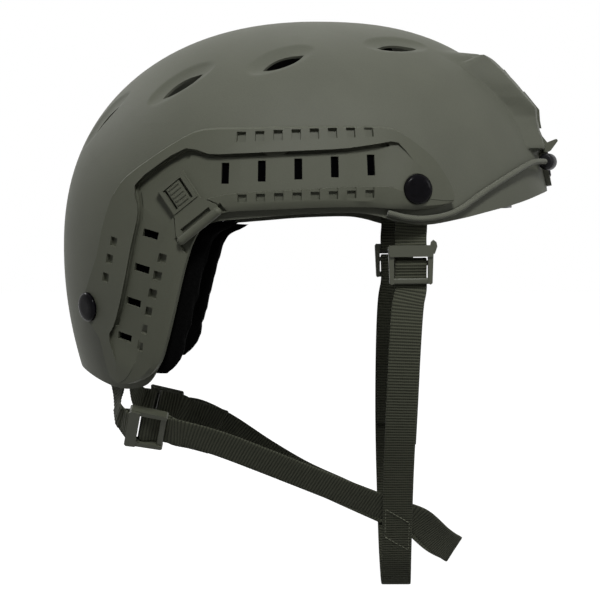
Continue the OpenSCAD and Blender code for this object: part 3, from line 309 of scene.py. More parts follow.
class Form:
    """The outer surface of the shell: three quarter curves rise from their own levels to one crown."""

    # The crown's and the widest section's places, the curves' levels and the floor, and the curves' exponents
    crown_x, widest_x = 11.0, -8.0
    length_level, width_level, floor = 100.0, 80.0, -180.0
    front_round, back_round, side_round, plan_round = 2.4, 2.25, 2.15, 2.1
    # How far the back and the sides turn in below their levels, and over what height
    back_tuck, back_tuck_run = 10, 65
    side_tuck, side_tuck_run = 6, 90

    def __init__(self, sizes):
        self.crown = sizes.crown / MM
        self.half = sizes.half_width / MM
        self.front = sizes.front / MM
        self.back = sizes.back / MM
        self.wall = sizes.wall / MM

    def quarter(self, h, reach, rise, n):
        return reach * max(0.0, 1 - (max(0.0, h) / rise) ** n) ** (1 / n)

    def tuck(self, z, level, depth, run):
        return depth * ((-level - z) / run) ** 2 if z < -level else 0.0

    def front_x(self, z, d):
        rise = self.crown + self.length_level + d
        return self.crown_x + self.quarter(z + self.length_level, self.front + d, rise, self.front_round)

    def back_x(self, z, d):
        rise = self.crown + self.length_level + d
        reach = self.quarter(z + self.length_level, self.back + d, rise, self.back_round)
        return self.crown_x - reach + self.tuck(z, self.length_level, self.back_tuck, self.back_tuck_run)

    def half_w(self, z, d):
        rise = self.crown + self.width_level + d
        wide = self.quarter(z + self.width_level, self.half + d, rise, self.side_round)
        return wide - self.tuck(z, self.width_level, self.side_tuck, self.side_tuck_run)

    def mid_x(self, z, d):
        return self.crown_x + (self.widest_x - self.crown_x) * self.half_w(z, d) / (self.half + d)

    def reach(self, ahead, z, d):
        return self.front_x(z, d) - self.mid_x(z, d) if ahead else self.mid_x(z, d) - self.back_x(z, d)

    def dome_at(self, bearing, z, d):
        """A point by bearing: 0 is the front, 90 the left, 180 the back."""
        c, s = math.cos(math.radians(bearing)), math.sin(math.radians(bearing))
        n = 2 / self.plan_round
        x = self.mid_x(z, d) + self.reach(c > 0, z, d) * signed_pow(c, n)
        return Vector((x, self.half_w(z, d) * signed_pow(s, n), z))

    def plan(self, share):
        """The plan's outline: its place in one direction, from its share of the reach in the other."""
        return max(0.0, 1 - share ** self.plan_round) ** (1 / self.plan_round)

    def front_at(self, y, z, d):
        """A point of the front by its place in the front view."""
        return Vector((self.mid_x(z, d) + self.reach(True, z, d) * self.plan(abs(y) / self.half_w(z, d)), y, z))

    def side_at(self, x, z):
        """A point of the right side by its place in the side view."""
        mid = self.mid_x(z, 0)
        share = abs(x - mid) / self.reach(x > mid, z, 0)
        return Vector((x, -self.half_w(z, 0) * self.plan(share), z))

    def side_along(self, x, z):
        return unit(self.side_at(x + 0.5, z) - self.side_at(x - 0.5, z))

    def side_out(self, x, z):
        return unit(self.side_along(x, z).cross(self.side_at(x, z + 0.5) - self.side_at(x, z - 0.5)))

    def on_side(self, x, z, turn=0.0):
        """The frame on the right side: local X forwards, Y upwards, Z out of the shell, turned about Z."""
        out, along = self.side_out(x, z), self.side_along(x, z)
        up = out.cross(along)
        c, s = math.cos(math.radians(turn)), math.sin(math.radians(turn))
        return self.side_at(x, z), along * c + up * s, up * c - along * s, out


# Making meshes


def deselect():
    """Leaves edit mode and clears the selection."""
    if bpy.context.object and bpy.context.object.mode != "OBJECT":
        bpy.ops.object.mode_set(mode="OBJECT")
    bpy.ops.object.select_all(action="DESELECT")


def work_on(o):
    """Makes a piece the active one and the only one that is selected."""
    deselect()
    bpy.context.view_layer.objects.active = o
    o.select_set(True)


@contextmanager
def editing(select="SELECT"):
    """Edit mode on the active piece, with all, nothing or what was chosen of it selected."""
    bpy.ops.object.mode_set(mode="EDIT")
    if select:
        bpy.ops.mesh.select_all(action=select)
    yield
    bpy.ops.object.mode_set(mode="OBJECT")


def apply_modifiers(o):
    work_on(o)
    for modifier in list(o.modifiers):
        bpy.ops.object.modifier_apply(modifier=modifier.name)


def smooth(o, angle, even=False):
    """Shades curves smooth, and keeps edges sharper than the angle. Even shading leans on the large faces."""
    work_on(o)
    bpy.ops.object.shade_smooth_by_angle(angle=math.radians(angle))
    if even:
        o.modifiers.new("even", "WEIGHTED_NORMAL").keep_sharp = True
        apply_modifiers(o)


def close_mesh(o, fill=True):
    """Merges doubled points, closes open ends and turns the faces outwards."""
    work_on(o)
    with editing():
        bpy.ops.mesh.remove_doubles(threshold=0.00001)
        if fill:
            bpy.ops.mesh.select_all(action="SELECT")
            bpy.ops.mesh.fill_holes(sides=0)
            bpy.ops.mesh.select_all(action="SELECT")
        bpy.ops.mesh.normals_make_consistent(inside=False)


def in_scene(name, data):
    """A new object in the scene."""
    o = bpy.data.objects.new(name, data)
    bpy.context.scene.collection.objects.link(o)
    return o


def loft(name, rows, scale_uv=(1.0, 1.0)):
    """Lays a grid over rows of closed outlines, seams it and closes both ends. scale_uv is its size in cm."""
    around, along = len(rows[0]), len(rows)
    deselect()
    bpy.ops.mesh.primitive_grid_add(x_subdivisions=around, y_subdivisions=along - 1, size=2, calc_uvs=True)
    o = bpy.context.object
    o.name = name
    for j, row in enumerate(rows):
        for i in range(around + 1):
            o.data.vertices[j * (around + 1) + i].co = row[i % around] * MM
    for spot in o.data.uv_layers.active.data:
        spot.uv = (spot.uv[0] * scale_uv[0], spot.uv[1] * scale_uv[1])
    close_mesh(o)
    return o


def prism(name, outline, reach):
    """A disc laid on an outline and extruded by a vector."""
    deselect()
    bpy.ops.mesh.primitive_circle_add(vertices=len(outline), fill_type="NGON")
    o = bpy.context.object
    o.name = name
    for v, p in zip(o.data.vertices, outline):
        v.co = p * MM
    with editing():
        bpy.ops.mesh.extrude_region_move(TRANSFORM_OT_translate={"value": reach * MM})
    close_mesh(o, fill=False)
    return o


def combine(target, other, operation):
    """Joins, cuts or keeps what is common, and removes the other shape."""
    work_on(target)
    change = target.modifiers.new("cut", "BOOLEAN")
    change.operation = operation
    change.object = other
    change.solver = "EXACT"
    bpy.ops.object.modifier_apply(modifier=change.name)
    bpy.data.objects.remove(other)


def mirrored(o, name):
    """A copy on the other side, with its own mesh and its faces outwards."""
    twin = o.copy()
    twin.data = o.data.copy()
    twin.name = name
    bpy.context.scene.collection.objects.link(twin)
    twin.data.transform(Matrix.Scale(-1, 4, (0, 1, 0)))
    work_on(twin)
    with editing():
        bpy.ops.mesh.flip_normals()
    return twin


def dress(o, finish, body, slot, *nodes):
    """Gives a piece its material, its body and the CAD nodes that it stands for."""
    o.data.materials.clear()
    o.data.materials.append(finish_of(finish))
    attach(o, body)
    if nodes:
        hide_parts(*nodes)


def cad_copy(node, name):
    """A merged copy of a CAD node's mesh as a new object."""
    o = in_scene(name, frame["nodes"][node].data.copy())
    close_mesh(o, fill=False)
    return o


def body_of(node):
    """The body that a CAD node belongs to."""
    return next(b for b, nodes in frame["record"]["behaviour"]["bodies"].items() if node in nodes)


def refine(node, finish, slot, edge=0.0, angle=32, cutters=()):
    """A rigid CAD node merged and cut, with flat faces joined, its sharp edges eased and its curves shaded smooth."""
    o = cad_copy(node, node + "_moulded")
    for cutter in cutters:
        combine(o, cutter, "DIFFERENCE")
    work_on(o)
    with editing():
        bpy.ops.mesh.dissolve_limited(angle_limit=math.radians(0.4))
    if edge:
        ease = o.modifiers.new("ease", "BEVEL")
        ease.width = edge * MM
        ease.segments = 2
        ease.limit_method = "ANGLE"
        ease.angle_limit = math.radians(40)
        apply_modifiers(o)
    smooth(o, angle, even=True)
    dress(o, finish, body_of(node), slot, node)


def keep(node, finish):
    """A CAD node that stays, with its own material."""
    mesh = frame["nodes"][node].data
    mesh.materials.clear()
    mesh.materials.append(finish_of(finish))


def ring(at, u, v, radius, count):
    """Points on a circle about a place, in the plane of two directions."""
    turns = [math.tau * k / count for k in range(count)]
    return [at + (u * math.cos(a) + v * math.sin(a)) * radius for a in turns]


def spline(points, steps):
    """A smooth curve through vectors or numbers, with the given steps between two of them."""
    last = len(points) - 1
    made = []
    for i in range(last):
        a, b, c, e = points[max(0, i - 1)], points[i], points[i + 1], points[min(last, i + 2)]
        for k in range(steps):
            t = k / steps
            made.append(0.5 * (2 * b + (c - a) * t + (2 * a - 5 * b + 4 * c - e) * t * t
                               + (3 * b - a - 3 * c + e) * t * t * t))
    return made + [points[last]]


def heading(points, i):
    """The way from the point before this one to the point after it."""
    return points[min(len(points) - 1, i + 1)] - points[max(0, i - 1)]


def resample(points, others, step):
    """Points at even distances along a curve, with what goes with each."""
    run = [0.0]
    for a, b in zip(points, points[1:]):
        run.append(run[-1] + (b - a).length)
    count = max(2, round(run[-1] / step))
    made, i = [], 0
    for k in range(count + 1):
        s = run[-1] * k / count
        while i < len(run) - 2 and run[i + 1] < s:
            i += 1
        t = (s - run[i]) / max(1e-9, run[i + 1] - run[i])
        made.append((points[i].lerp(points[i + 1], t), others[i].lerp(others[i + 1], t)))
    return made, run[-1]


# Shell

# The rim in the side view, from the front to the back
RIM = [
    (150, -66), (136, -68.4), (114.7, -76), (94, -81.6), (81, -84.8), (64, -87.8), (50, -86.4), (38, -83.2),
    (26, -81.8), (0, -82.6), (-20, -84.2), (-32, -85.2), (-42, -86.3), (-50, -90.2), (-54.6, -98.5), (-58.6, -112),
    (-62.3, -127), (-66.2, -142), (-70.6, -156.5), (-74.5, -165.5), (-80.5, -170.6), (-92, -172.4), (-104, -169.5),
    (-121, -162.5), (-150, -152),
]
# The right vents: place and turn in the side view. A vent narrows inwards, and its scoop reaches past it.
VENTS = [(51, 5.5, 4), (-8.5, -4, 32), (-61, -15.5, 44), (-104, -32, 52)]
VENT_NARROWS = (4, 2)
SCOOP_MARGIN = (9, 6)
SCOOP_RISE = 6.0
SCOOP_LIFT = 2.2
# The boss: heights, how far its seat for the shroud stands proud, and half its width
BOSS = [
    (-50, 0.0, 33), (-47.2, 1.3, 33), (-46.6, 1.56, 33), (-41, 1.56, 32.5), (-36, 1.56, 32), (-30, 3.2, 31),
    (-25, 5.2, 31.5), (-20, 4.25, 33.5), (-15, 3.7, 34.5), (-10, 3.6, 35), (-5, 3.85, 35), (-3.5, 3.4, 35),
    (-1, 0.0, 35), (7, 0.0, 35),
]
BOSS_DRAFT = 9.0
BOSS_ROOT = 1.5
BOSS_EDGE = 0.8
# The frame round the shroud: its height, how much of the dome's curve it makes flat, and where it starts and ends
FRAME_RISE = 3.1
FRAME_FLATTENS = 0.28
FRAME_FOOT, FRAME_TOP = (-48.5, -46.5), (-5, -1.5)
# The hood over the shroud: heights of the shell's surface, and how far it stands off along the normal
HOOD = [(-5, 6.3), (-4, 6.8), (-2.8, 7.2), (-1.1, 5.9), (0.5, 4.2), (1.9, 2.8), (3.4, 1.3), (4.5, 0.4), (5.5, 0)]
HOOD_SIDE, HOOD_FOOT = (28, 45), (-6.5, -4.5)
# The relief runs straight ahead on the boss and along the normal on the hood, and turns between these heights.
RELIEF_TURN = (-14, -5)
# Half the width of the shroud's plate at its heights, and the room in front of its seat
PLATE_HALF = [
    (-48, 30.4), (-36, 30.4), (-30, 28.4), (-25, 26), (-20, 23.4), (-15, 20.4), (-10, 17.6), (-3, 13.8),
]
PLATE_ROOM = 14
# How far the cutter above the rim reaches: ahead and behind, to each side, and up
CUTTER_X, CUTTER_Y, CUTTER_Z = 190, 150, 80
# How far a vent's cutter reaches inwards and outwards
VENT_IN, VENT_OUT = 9, 4
# Segments round the dome and rings down it, outside and inside
OUTER_MESH, INNER_MESH = (144, 72), (96, 48)
# The outer mesh is finer ahead of one place, out to one width and between two heights, and round each vent.
FINE_AHEAD, FINE_SIDE, FINE_HEIGHTS, FINE_ROUND = 70, 54, (-60, 14), 27
# The boss and the hood are sought ahead of this place, and no further out.
RELIEF_REACH = 60


def boss_seat(z):
    """How far the shroud's seat stands proud of the dome."""
    return lookup(z, [row[:2] for row in BOSS])


def boss_relief(form, y, z):
    """How far the front boss, with its flat-fronted frame round the shroud, stands proud of the dome."""
    half = lookup(z, [(row[0], row[2]) for row in BOSS]) + BOSS_EDGE
    top = boss_seat(z)
    if top > 0:
        drop = form.front_x(z, 0) - form.front_at(min(abs(y), half), z, 0).x
        top += (FRAME_RISE + FRAME_FLATTENS * drop) * ramp(z, *FRAME_FOOT) * (1 - ramp(z, *FRAME_TOP))
    wall = (half + BOSS_DRAFT - abs(y)) / BOSS_DRAFT * (top + BOSS_ROOT) - BOSS_ROOT
    return max(min(top, wall), 0.0)


def hood_relief(y, z):
    """How far the hood stands off the shell."""
    return lookup(z, HOOD) * (1 - ramp(abs(y), *HOOD_SIDE)) * ramp(z, *HOOD_FOOT)


def shroud_pocket(form):
    """The room in the boss's frame that the shroud's plate drops into."""
    rows = []
    for z in between(PLATE_HALF[0][0], PLATE_HALF[-1][0], 22):
        half = lookup(z, PLATE_HALF)
        across = [half * (2 * j / 20 - 1) for j in range(21)]
        low = boss_seat(z)
        rows.append([form.front_at(y, z, low + PLATE_ROOM) for y in reversed(across)]
                    + [form.front_at(y, z, low) for y in across])
    return loft("shroud_pocket", rows)


def scoop_relief(sizes, frames, p):
    """How deep the scoops round the vents are at a point, and the direction out of the shell there."""
    half_l = sizes.vent_length / MM / 2 + SCOOP_MARGIN[0]
    half_w = sizes.vent_width / MM / 2 + SCOOP_MARGIN[1]
    best, out = 0.0, None
    for at, u, v, w in frames:
        q = p - at
        if q.length > half_l + SCOOP_RISE:
            continue
        share = (q.dot(u) / half_l) ** 2 + ((q.dot(v) - SCOOP_LIFT) / half_w) ** 2
        if share < 1:
            depth = SCOOP_RISE * math.sqrt(1 - share) - (SCOOP_RISE - sizes.scoop_depth / MM) - q.dot(w)
            if depth > best:
                best, out = depth, w
    return best, out


def flip(v):
    """A place or a direction, mirrored to the other side."""
    return Vector((v[0], -v[1], v[2]))


def dome(form, name, d, density, fine=None, relief=None):
    """A sphere laid on the section curves: its upper half is the dome and its lower half the sides and floor.
    Faces in a fine place are divided, and relief moves each point."""
    deselect()
    bpy.ops.mesh.primitive_uv_sphere_add(segments=density[0], ring_count=density[1], radius=1)
    o = bpy.context.object
    o.name = name
    top = form.crown + form.width_level + d
    # This angle below the sphere's equator becomes the sides, and what is left of it the floor.
    sides = 1.45

    def polar(v):
        return math.acos(max(-1.0, min(1.0, v.z / max(1e-9, v.length))))

    def bearing(v):
        return math.degrees(math.atan2(v.y, v.x))

    def level(v):
        below = polar(v) - math.pi / 2
        if below <= 0:
            return top * math.cos(polar(v)) - form.width_level
        return max(form.floor, -form.width_level + (form.floor + form.width_level) * below / sides)

    def lay(v):
        # The two poles lie on the crown's axis.
        if polar(v) > math.pi - 0.04:
            return Vector((form.crown_x, 0, form.floor))
        if polar(v) < 1e-4:
            return Vector((form.crown_x, 0, form.crown + d))
        base = form.dome_at(bearing(v), level(v), d)
        return relief(base, bearing(v), level(v)) if relief else base

    if fine:
        with editing("DESELECT"):
            bpy.ops.mesh.select_mode(type="VERT")
        for face in o.data.polygons:
            at = face.center
            face.select = at.z > 0 and fine(form.dome_at(bearing(at), level(at), 0))
        with editing(None):
            bpy.ops.mesh.select_mode(type="FACE")
            bpy.ops.mesh.subdivide(number_cuts=3)
    for v in o.data.vertices:
        v.co = lay(v.co.copy()) * MM
    close_mesh(o, fill=False)
    return o


def vent_outline(length_mm, width_mm, at, u, v, steps=16):
    """A lens of two arcs."""
    r = (length_mm ** 2 + width_mm ** 2) / (4 * width_mm)
    half = math.asin(length_mm / 2 / r)
    made = []
    for side in (1, -1):
        for k in range(steps):
            a = (-half + 2 * half * k / steps) * side
            made.append(at + u * (r * math.sin(a)) + v * side * (r * math.cos(a) - r + width_mm / 2))
    return made


class HELMET_OT_shell(bpy.types.Operator):
    """Mould the shell with its boss, hood, scooped vents and rim"""

    bl_idname = "helmet.shell"
    bl_label = "Shell"

    def execute(self, context):
        sizes = context.scene.helmet_shell
        form = Form(sizes)
        right = [form.on_side(*vent) for vent in VENTS]
        frames = right + [[flip(v) for v in frame_at] for frame_at in right]

        def fine(p):
            """Round the boss and round the vents."""
            low, high = FINE_HEIGHTS
            on_boss = p.x > FINE_AHEAD and abs(p.y) < FINE_SIDE and low < p.z < high
            return on_boss or any((p - at).length < FINE_ROUND for at, *_ in frames)

        def relief(base, bearing, z):
            depth, out = scoop_relief(sizes, frames, base)
            if depth > 0:
                return base - out * depth
            if base.x < RELIEF_REACH or abs(base.y) > RELIEF_REACH:
                return base
            proud = max(boss_relief(form, base.y, z), hood_relief(base.y, z))
            if proud == 0:
                return base
            over = form.dome_at(bearing + 0.5, z, 0) - form.dome_at(bearing - 0.5, z, 0)
            out = unit(over.cross(form.dome_at(bearing, z + 0.5, 0) - form.dome_at(bearing, z - 0.5, 0)))
            ahead = form.dome_at(bearing, z, boss_relief(form, base.y, z))
            return ahead.lerp(base + out * proud, ramp(z, *RELIEF_TURN))

        shell = dome(form, "shell_moulded", 0, OUTER_MESH, fine, relief)
        combine(shell, shroud_pocket(form), "DIFFERENCE")
        combine(shell, dome(form, "hollow", -form.wall, INNER_MESH), "DIFFERENCE")
        edge = spline([Vector((x, 0, z)) for x, z in RIM], 5)
        edge += [Vector((x, 0, z)) for x, z in (
            (-CUTTER_X, RIM[-1][1]), (-CUTTER_X, CUTTER_Z), (CUTTER_X, CUTTER_Z), (CUTTER_X, RIM[0][1]))]
        across = Vector((0, CUTTER_Y, 0))
        combine(shell, prism("above_rim", [p - across for p in edge], 2 * across), "INTERSECT")
        long, wide = sizes.vent_length / MM, sizes.vent_width / MM
        for i, (at, u, v, w) in enumerate(frames):
            inner = vent_outline(long - VENT_NARROWS[0], wide - VENT_NARROWS[1], at - w * VENT_IN, u, v)
            outer = vent_outline(long, wide, at + w * VENT_OUT, u, v)
            combine(shell, loft("vent_%d" % i, [inner, outer]), "DIFFERENCE")
        smooth(shell, 38, even=True)
        dress(shell, "textured_abs_shell", ROOT, "shell_plastic", "shell")
        return {"FINISHED"}


# Rails, clips, shroud and fasteners

# Places on the right rail in the side view, and the turn of what lies along its rear limb
SLOTS = [(-36.7 + 17.9 * k, -62.6 + 1.032 * k) for k in range(5)]
REAR_SLOTS = [(-74, -92.5), (-78.5, -109.8), (-83, -126.8), (-87.6, -144.6)]
REAR_TURN = -14
# The slots' width, length and length in the rear limb, and their heights off the shell, as cut and for the black
# strips of painted shade behind them
SLOT_CUT = (3.9, 10.6, 9.2, -0.5, 8.0)
SLOT_SHADE_STRIP = (3.8, 10.5, 9.1, 0.35, 0.9)
# Notches: place, turn, width and height of the floor off the shell
NOTCHES = [(-28.4 + 8.8 * k, -45.8 + 0.369 * k, 0, 5.2, 3.3) for k in range(8)]
NOTCHES += [(-28 + 8.8 * k, -74.9 + 0.315 * k, 0, 4.3, 2.2) for k in range(8)]
NOTCHES += [(-66.8 - 2.4 * k, -104.5 - 8.8 * k, REAR_TURN, 5.2, 2.8) for k in range(6)]
NOTCHES += [(x, z, REAR_TURN, 5.2, 3.3) for x, z in ((-91.5, -96.3), (-93.7, -105), (-95.9, -114.3))]
NOTCH_LENGTH, NOTCH_TOP, NOTCH_DRAFT = 4.9, 8.0, 0.35
# The foot of the channel's outer wall, and how far the groove there reaches inwards
CHANNEL_EDGE = [
    (47.4, -48.4, 0.9), (39, -48.8, 1.1), (23.4, -51.2, 1.1), (5.7, -52.3, 1.1), (-29.3, -53.8, 1.1),
    (-44, -54, 1.1), (-53.5, -52, 1.2), (-56, -51.8, 4.0), (-69.4, -59.5, 4.0), (-79, -67.6, 4.0), (-80, -70.5, 1.2),
    (-78.7, -78.5, 1.1), (-79.1, -85.4, 1.1), (-82.3, -98.9, 1.1), (-84.9, -112.9, 1.1), (-88.8, -129.7, 1.1),
    (-91.8, -139.2, 1.0),
]
GROOVE_FOOT, GROOVE_TOP, GROOVE_SIDE = 1.0, 3.3, -0.8


def box_cutter(name, frame_at, length_mm, width_mm, low, high, draft=0.0):
    """A box on a frame of the shell's side, a little narrower at its floor."""
    at, u, v, w = frame_at
    rows = []
    for h, less in ((low, draft), (high, 0.0)):
        a, b = length_mm / 2 - less, width_mm / 2 - less
        rows.append([at + w * h + u * (a * p) + v * (b * q) for p, q in ((-1, -1), (1, -1), (1, 1), (-1, 1))])
    return loft(name, rows)


def joined(parts, name, left):
    """One shape of several that don't touch, or its twin on the left."""
    work_on(parts[0])
    for o in parts:
        o.select_set(True)
    bpy.ops.object.join()
    whole = bpy.context.object
    whole.name = name
    if not left:
        return whole
    twin = mirrored(whole, name)
    bpy.data.objects.remove(whole)
    twin.name = name
    return twin


def slot_cutter(form, size, left):
    """All slots of a rail, with the given sizes."""
    width, length_mm, rear_length, low, high = size
    parts = [box_cutter("slot", form.on_side(x, z), width, length_mm, low, high) for x, z in SLOTS]
    parts += [box_cutter("slot", form.on_side(x, z, REAR_TURN), rear_length, width, low, high)
              for x, z in REAR_SLOTS]
    return joined(parts, "slots", left)


def notch_cutter(form, left):
    """All notches of a rail."""
    parts = [box_cutter("notch", form.on_side(x, z, turn), NOTCH_LENGTH, width, floor, NOTCH_TOP, NOTCH_DRAFT)
             for x, z, turn, width, floor in NOTCHES]
    return joined(parts, "notches", left)


def groove_cutter(form, left):
    """The undercut that runs along the foot of the channel's outer wall."""
    points = [Vector((x, z, reach)) for x, z, reach in CHANNEL_EDGE]
    rows = []
    for i, p in enumerate(points):
        ahead = heading(points, i)
        way = Vector((-ahead.y, ahead.x)).normalized()
        rows.append([])
        for across, high in ((GROOVE_SIDE, GROOVE_FOOT), (p.z, GROOVE_FOOT), (p.z, GROOVE_TOP),
                             (GROOVE_SIDE, GROOVE_TOP)):
            x, z = p.x + way.x * across, p.y + way.y * across
            rows[-1].append(form.side_at(x, z) + form.side_out(x, z) * high)
    return joined([loft("groove", rows)], "groove", left)


class HELMET_OT_rails(bpy.types.Operator):
    """Undercut the two accessory rails, deepen their notches, ease their edges and give them their finish"""

    bl_idname = "helmet.rails"
    bl_label = "Rails"

    def execute(self, context):
        form = Form(context.scene.helmet_shell)
        for node, left in (("right_rail", False), ("left_rail", True)):
            cutters = [groove_cutter(form, left), slot_cutter(form, SLOT_CUT, left), notch_cutter(form, left)]
            refine(node, "glass_filled_nylon_rail", "rail_plastic", edge=0.3, cutters=cutters)
            # A black strip behind each slot is painted shade: it stands for the dark hollow of the real rail.
            shade_strip = slot_cutter(form, SLOT_SHADE_STRIP, left)
            shade_strip.name = node.replace("rail", "slot_shade_strip")
            dress(shade_strip, "sooty_foam", ROOT, "black_plastic")
        return {"FINISHED"}


class HELMET_OT_clips(bpy.types.Operator):
    """Ease the edges of the strap clips"""

    bl_idname = "helmet.clips"
    bl_label = "Strap clips"

    def execute(self, context):
        for node in ("right_strap_clip", "left_strap_clip"):
            refine(node, "glass_filled_nylon_rail", "rail_plastic", edge=0.2)
        return {"FINISHED"}


class HELMET_OT_shroud(bpy.types.Operator):
    """Ease the edges of the front shroud"""

    bl_idname = "helmet.shroud"
    bl_label = "Shroud"

    def execute(self, context):
        refine("shroud", "glass_filled_nylon_rail", "rail_plastic", edge=0.3)
        return {"FINISHED"}


class HELMET_OT_fasteners(bpy.types.Operator):
    """Finish the bolts, screws and nuts"""

    bl_idname = "helmet.fasteners"
    bl_label = "Fasteners"

    def execute(self, context):
        for node in ("front_bolts", "rear_bolts", "shroud_screws"):
            refine(node, "oxidised_steel", "black_metal", angle=50)
        for node in ("front_bolt_nuts", "rear_bolt_nuts"):
            keep(node, "oxidised_steel")
        keep("shroud_nuts", "plated_steel")
        return {"FINISHED"}


# Elastic cords

# The right cord's axis in the side view, from the shroud to the rail, and its distance off the shell
CORD_ROUTE = [
    (125.6, -55.2, 5), (120.4, -55.4, 3.9), (115, -57.7, 2.9), (108.2, -61.7, 2.5), (99.3, -67, 2.1),
    (92.6, -71.3, 2), (86, -75.9, 2), (80.9, -79.4, 2), (74.7, -82.3, 2), (67, -84.1, 2), (59.4, -84.8, 2),
    (51.5, -84, 2), (45.4, -82.4, 2), (43.2, -81.9, 2),
]


class HELMET_OT_cords(bpy.types.Operator):
    """Run the elastic cords from the rails to the shroud and fit their beads"""

    bl_idname = "helmet.cords"
    bl_label = "Elastic cords"

    def execute(self, context):
        form = Form(context.scene.helmet_shell)
        radius = context.scene.helmet_harness.cord_diameter / MM / 2
        line = [form.side_at(x, z) + form.side_out(x, z) * d for x, z, d in CORD_ROUTE]
        curve = spline(line, 8)
        stations, run = resample(curve, curve, 1.0)
        centres = [p for p, _ in stations]
        rows = []
        for i, p in enumerate(centres):
            along = unit(heading(centres, i))
            across = unit(along.cross(Vector((0, 0, 1))))
            rows.append(ring(p, across, across.cross(along), radius, 16))
        cord = loft("right_cord", rows, (math.tau * radius / 10, run / 10))
        smooth(cord, 60)
        twin = mirrored(cord, "left_cord")
        dress(cord, "braided_cord", ROOT, "cord", "right_bungee")
        dress(twin, "braided_cord", ROOT, "cord", "left_bungee")
        for node in ("right_cord_bead", "left_cord_bead"):
            refine(node, "black_nylon", "black_plastic", angle=50)
        return {"FINISHED"}


# Liner

PADS = (
    "crown_pad", "front_pad", "rear_pad", "right_side_pad", "left_side_pad", "right_ear_pad", "left_ear_pad",
    "brow_pad", "nape_pad",
)
THIN_PADS = ("brow_pad", "right_ear_pad", "left_ear_pad")
COVER_PRESSURE = 4
COVER_FRAMES = 20
# The ear pads: heights, front edge and back edge in the side view, and the height that their ends round off in
EAR_PAD = [
    (-83.5, -29, -60), (-86.5, -31, -70), (-90, -35.5, -75), (-93, -41.5, -77), (-99, -44.2, -79), (-108, -46.8, -81),
    (-117, -49.3, -83), (-126, -51.7, -85), (-135, -54.1, -86.5), (-144, -56.6, -87.5), (-152, -59, -88),
    (-158, -62.2, -88.5), (-163, -66, -88.5), (-167, -71, -88),
]
EAR_PAD_THICK, EAR_PAD_GAP, EAR_PAD_END = 8.0, 0.4, 7
# How round the ear pads are in outline and in section: 1 is an ellipse, and 0 a box.
EAR_PAD_ROUND = (0.45, 0.6)


def ear_cushion(form, name, left):
    """An ear pad before it is stuffed: it lies on the shell's inner wall and stands a finger's width past the rim."""
    top, foot = EAR_PAD[0][0], EAR_PAD[-1][0]
    rows = []
    for z in between(top, foot, 30):
        ahead, behind = (lookup(-z, [(-row[0], row[i]) for row in EAR_PAD]) for i in (1, 2))
        end = min(1.0, 0.45 + 0.55 * min(z - foot, top - z) / EAR_PAD_END)
        rows.append([])
        for j in range(28):
            a = math.tau * j / 28
            x = (ahead + behind) / 2 + (ahead - behind) / 2 * signed_pow(math.cos(a), EAR_PAD_ROUND[0])
            lift = EAR_PAD_THICK / 2 * (1 - end * signed_pow(math.sin(a), EAR_PAD_ROUND[1]))
            deep = form.wall + EAR_PAD_GAP + lift
            rows[-1].append(form.side_at(x, z) - form.side_out(x, z) * deep)
    return joined([loft(name, rows)], name, left)


class HELMET_OT_pads(bpy.types.Operator):
    """Stuff the liner's pads: each cover is simulated cloth blown up over its foam"""

    bl_idname = "helmet.pads"
    bl_label = "Pads"

    def execute(self, context):
        sizes = context.scene.helmet_liner
        made = []
        for node in PADS:
            if "ear" in node:
                o = ear_cushion(Form(context.scene.helmet_shell), node + "_cover", "left" in node)
            else:
                o = cad_copy(node, node + "_cover")
            cells = o.modifiers.new("cells", "REMESH")
            cells.mode = "VOXEL"
            cells.voxel_size = sizes.thin_cell if node in THIN_PADS else sizes.cloth_cell
            shrink = o.modifiers.new("shrink", "DISPLACE")
            shrink.mid_level = 0
            shrink.strength = -sizes.slack
            apply_modifiers(o)
            made.append((o, node))
        self.inflate(context, [o for o, node in made], sizes.swell)
        for o, node in made:
            soften = o.modifiers.new("soften", "SUBSURF")
            soften.levels = soften.render_levels = 1
            apply_modifiers(o)
            smooth(o, 180)
            dress(o, "knitted_cover", body_of(node), "padding", node)
        return {"FINISHED"}

    def inflate(self, context, covers, swell):
        """Blows the covers up and holds each point within the swell, and off the shell."""
        centre = Vector((0, 0, -60)) * MM
        for o in covers:
            cloth = o.modifiers.new("cover", "CLOTH")
            cloth.settings.use_pressure = True
            cloth.settings.uniform_pressure_force = COVER_PRESSURE
            cloth.settings.effector_weights.gravity = 0
        for f in range(1, COVER_FRAMES + 1):
            context.scene.frame_set(f)
        graph = context.evaluated_depsgraph_get()
        for o in covers:
            blown = [v.co.copy() for v in o.evaluated_get(graph).data.vertices]
            o.modifiers.clear()
            for v, end in zip(o.data.vertices, blown):
                move = end - v.co
                if move.length > swell:
                    move *= swell / move.length
                away = unit(v.co - centre)
                lift = move.dot(away)
                if lift > 0:
                    move -= away * lift
                v.co += move
        context.scene.frame_set(1)


class HELMET_OT_headband(bpy.types.Operator):
    """Finish the headband, the nape cradle and its dial"""

    bl_idname = "helmet.headband"
    bl_label = "Headband and dial"

    def execute(self, context):
        refine("headband", "black_nylon", "black_plastic", angle=40)
        refine("nape_cradle", "black_nylon", "black_plastic", edge=0.3, angle=40)
        refine("dial_knob", "black_nylon", "black_plastic", edge=0.4, angle=40)
        return {"FINISHED"}


# Harness: webbing is written as points with the direction of its width.

# Places across the webbing, from edge to edge, and the share of its thickness there
WEB_ACROSS = [-1, -0.97, -0.88, -0.6, -0.3, 0, 0.3, 0.6, 0.88, 0.97, 1]
WEB_FILL = [0.45, 0.8, 1, 1, 1, 1, 1, 1, 1, 0.8, 0.45]
RIB_STEPS = 4
# The radius of a loop's bolt hole, the reach of its cutter, and how far a loop lies inside the shell's inner wall
BOLT_HOLE, HOLE_REACH, LOOP_GAP = 3, 30, 1.5
# The right bolts in the side view
FRONT_BOLT, REAR_BOLT = (57, -70.5), (-105.5, -129.5)


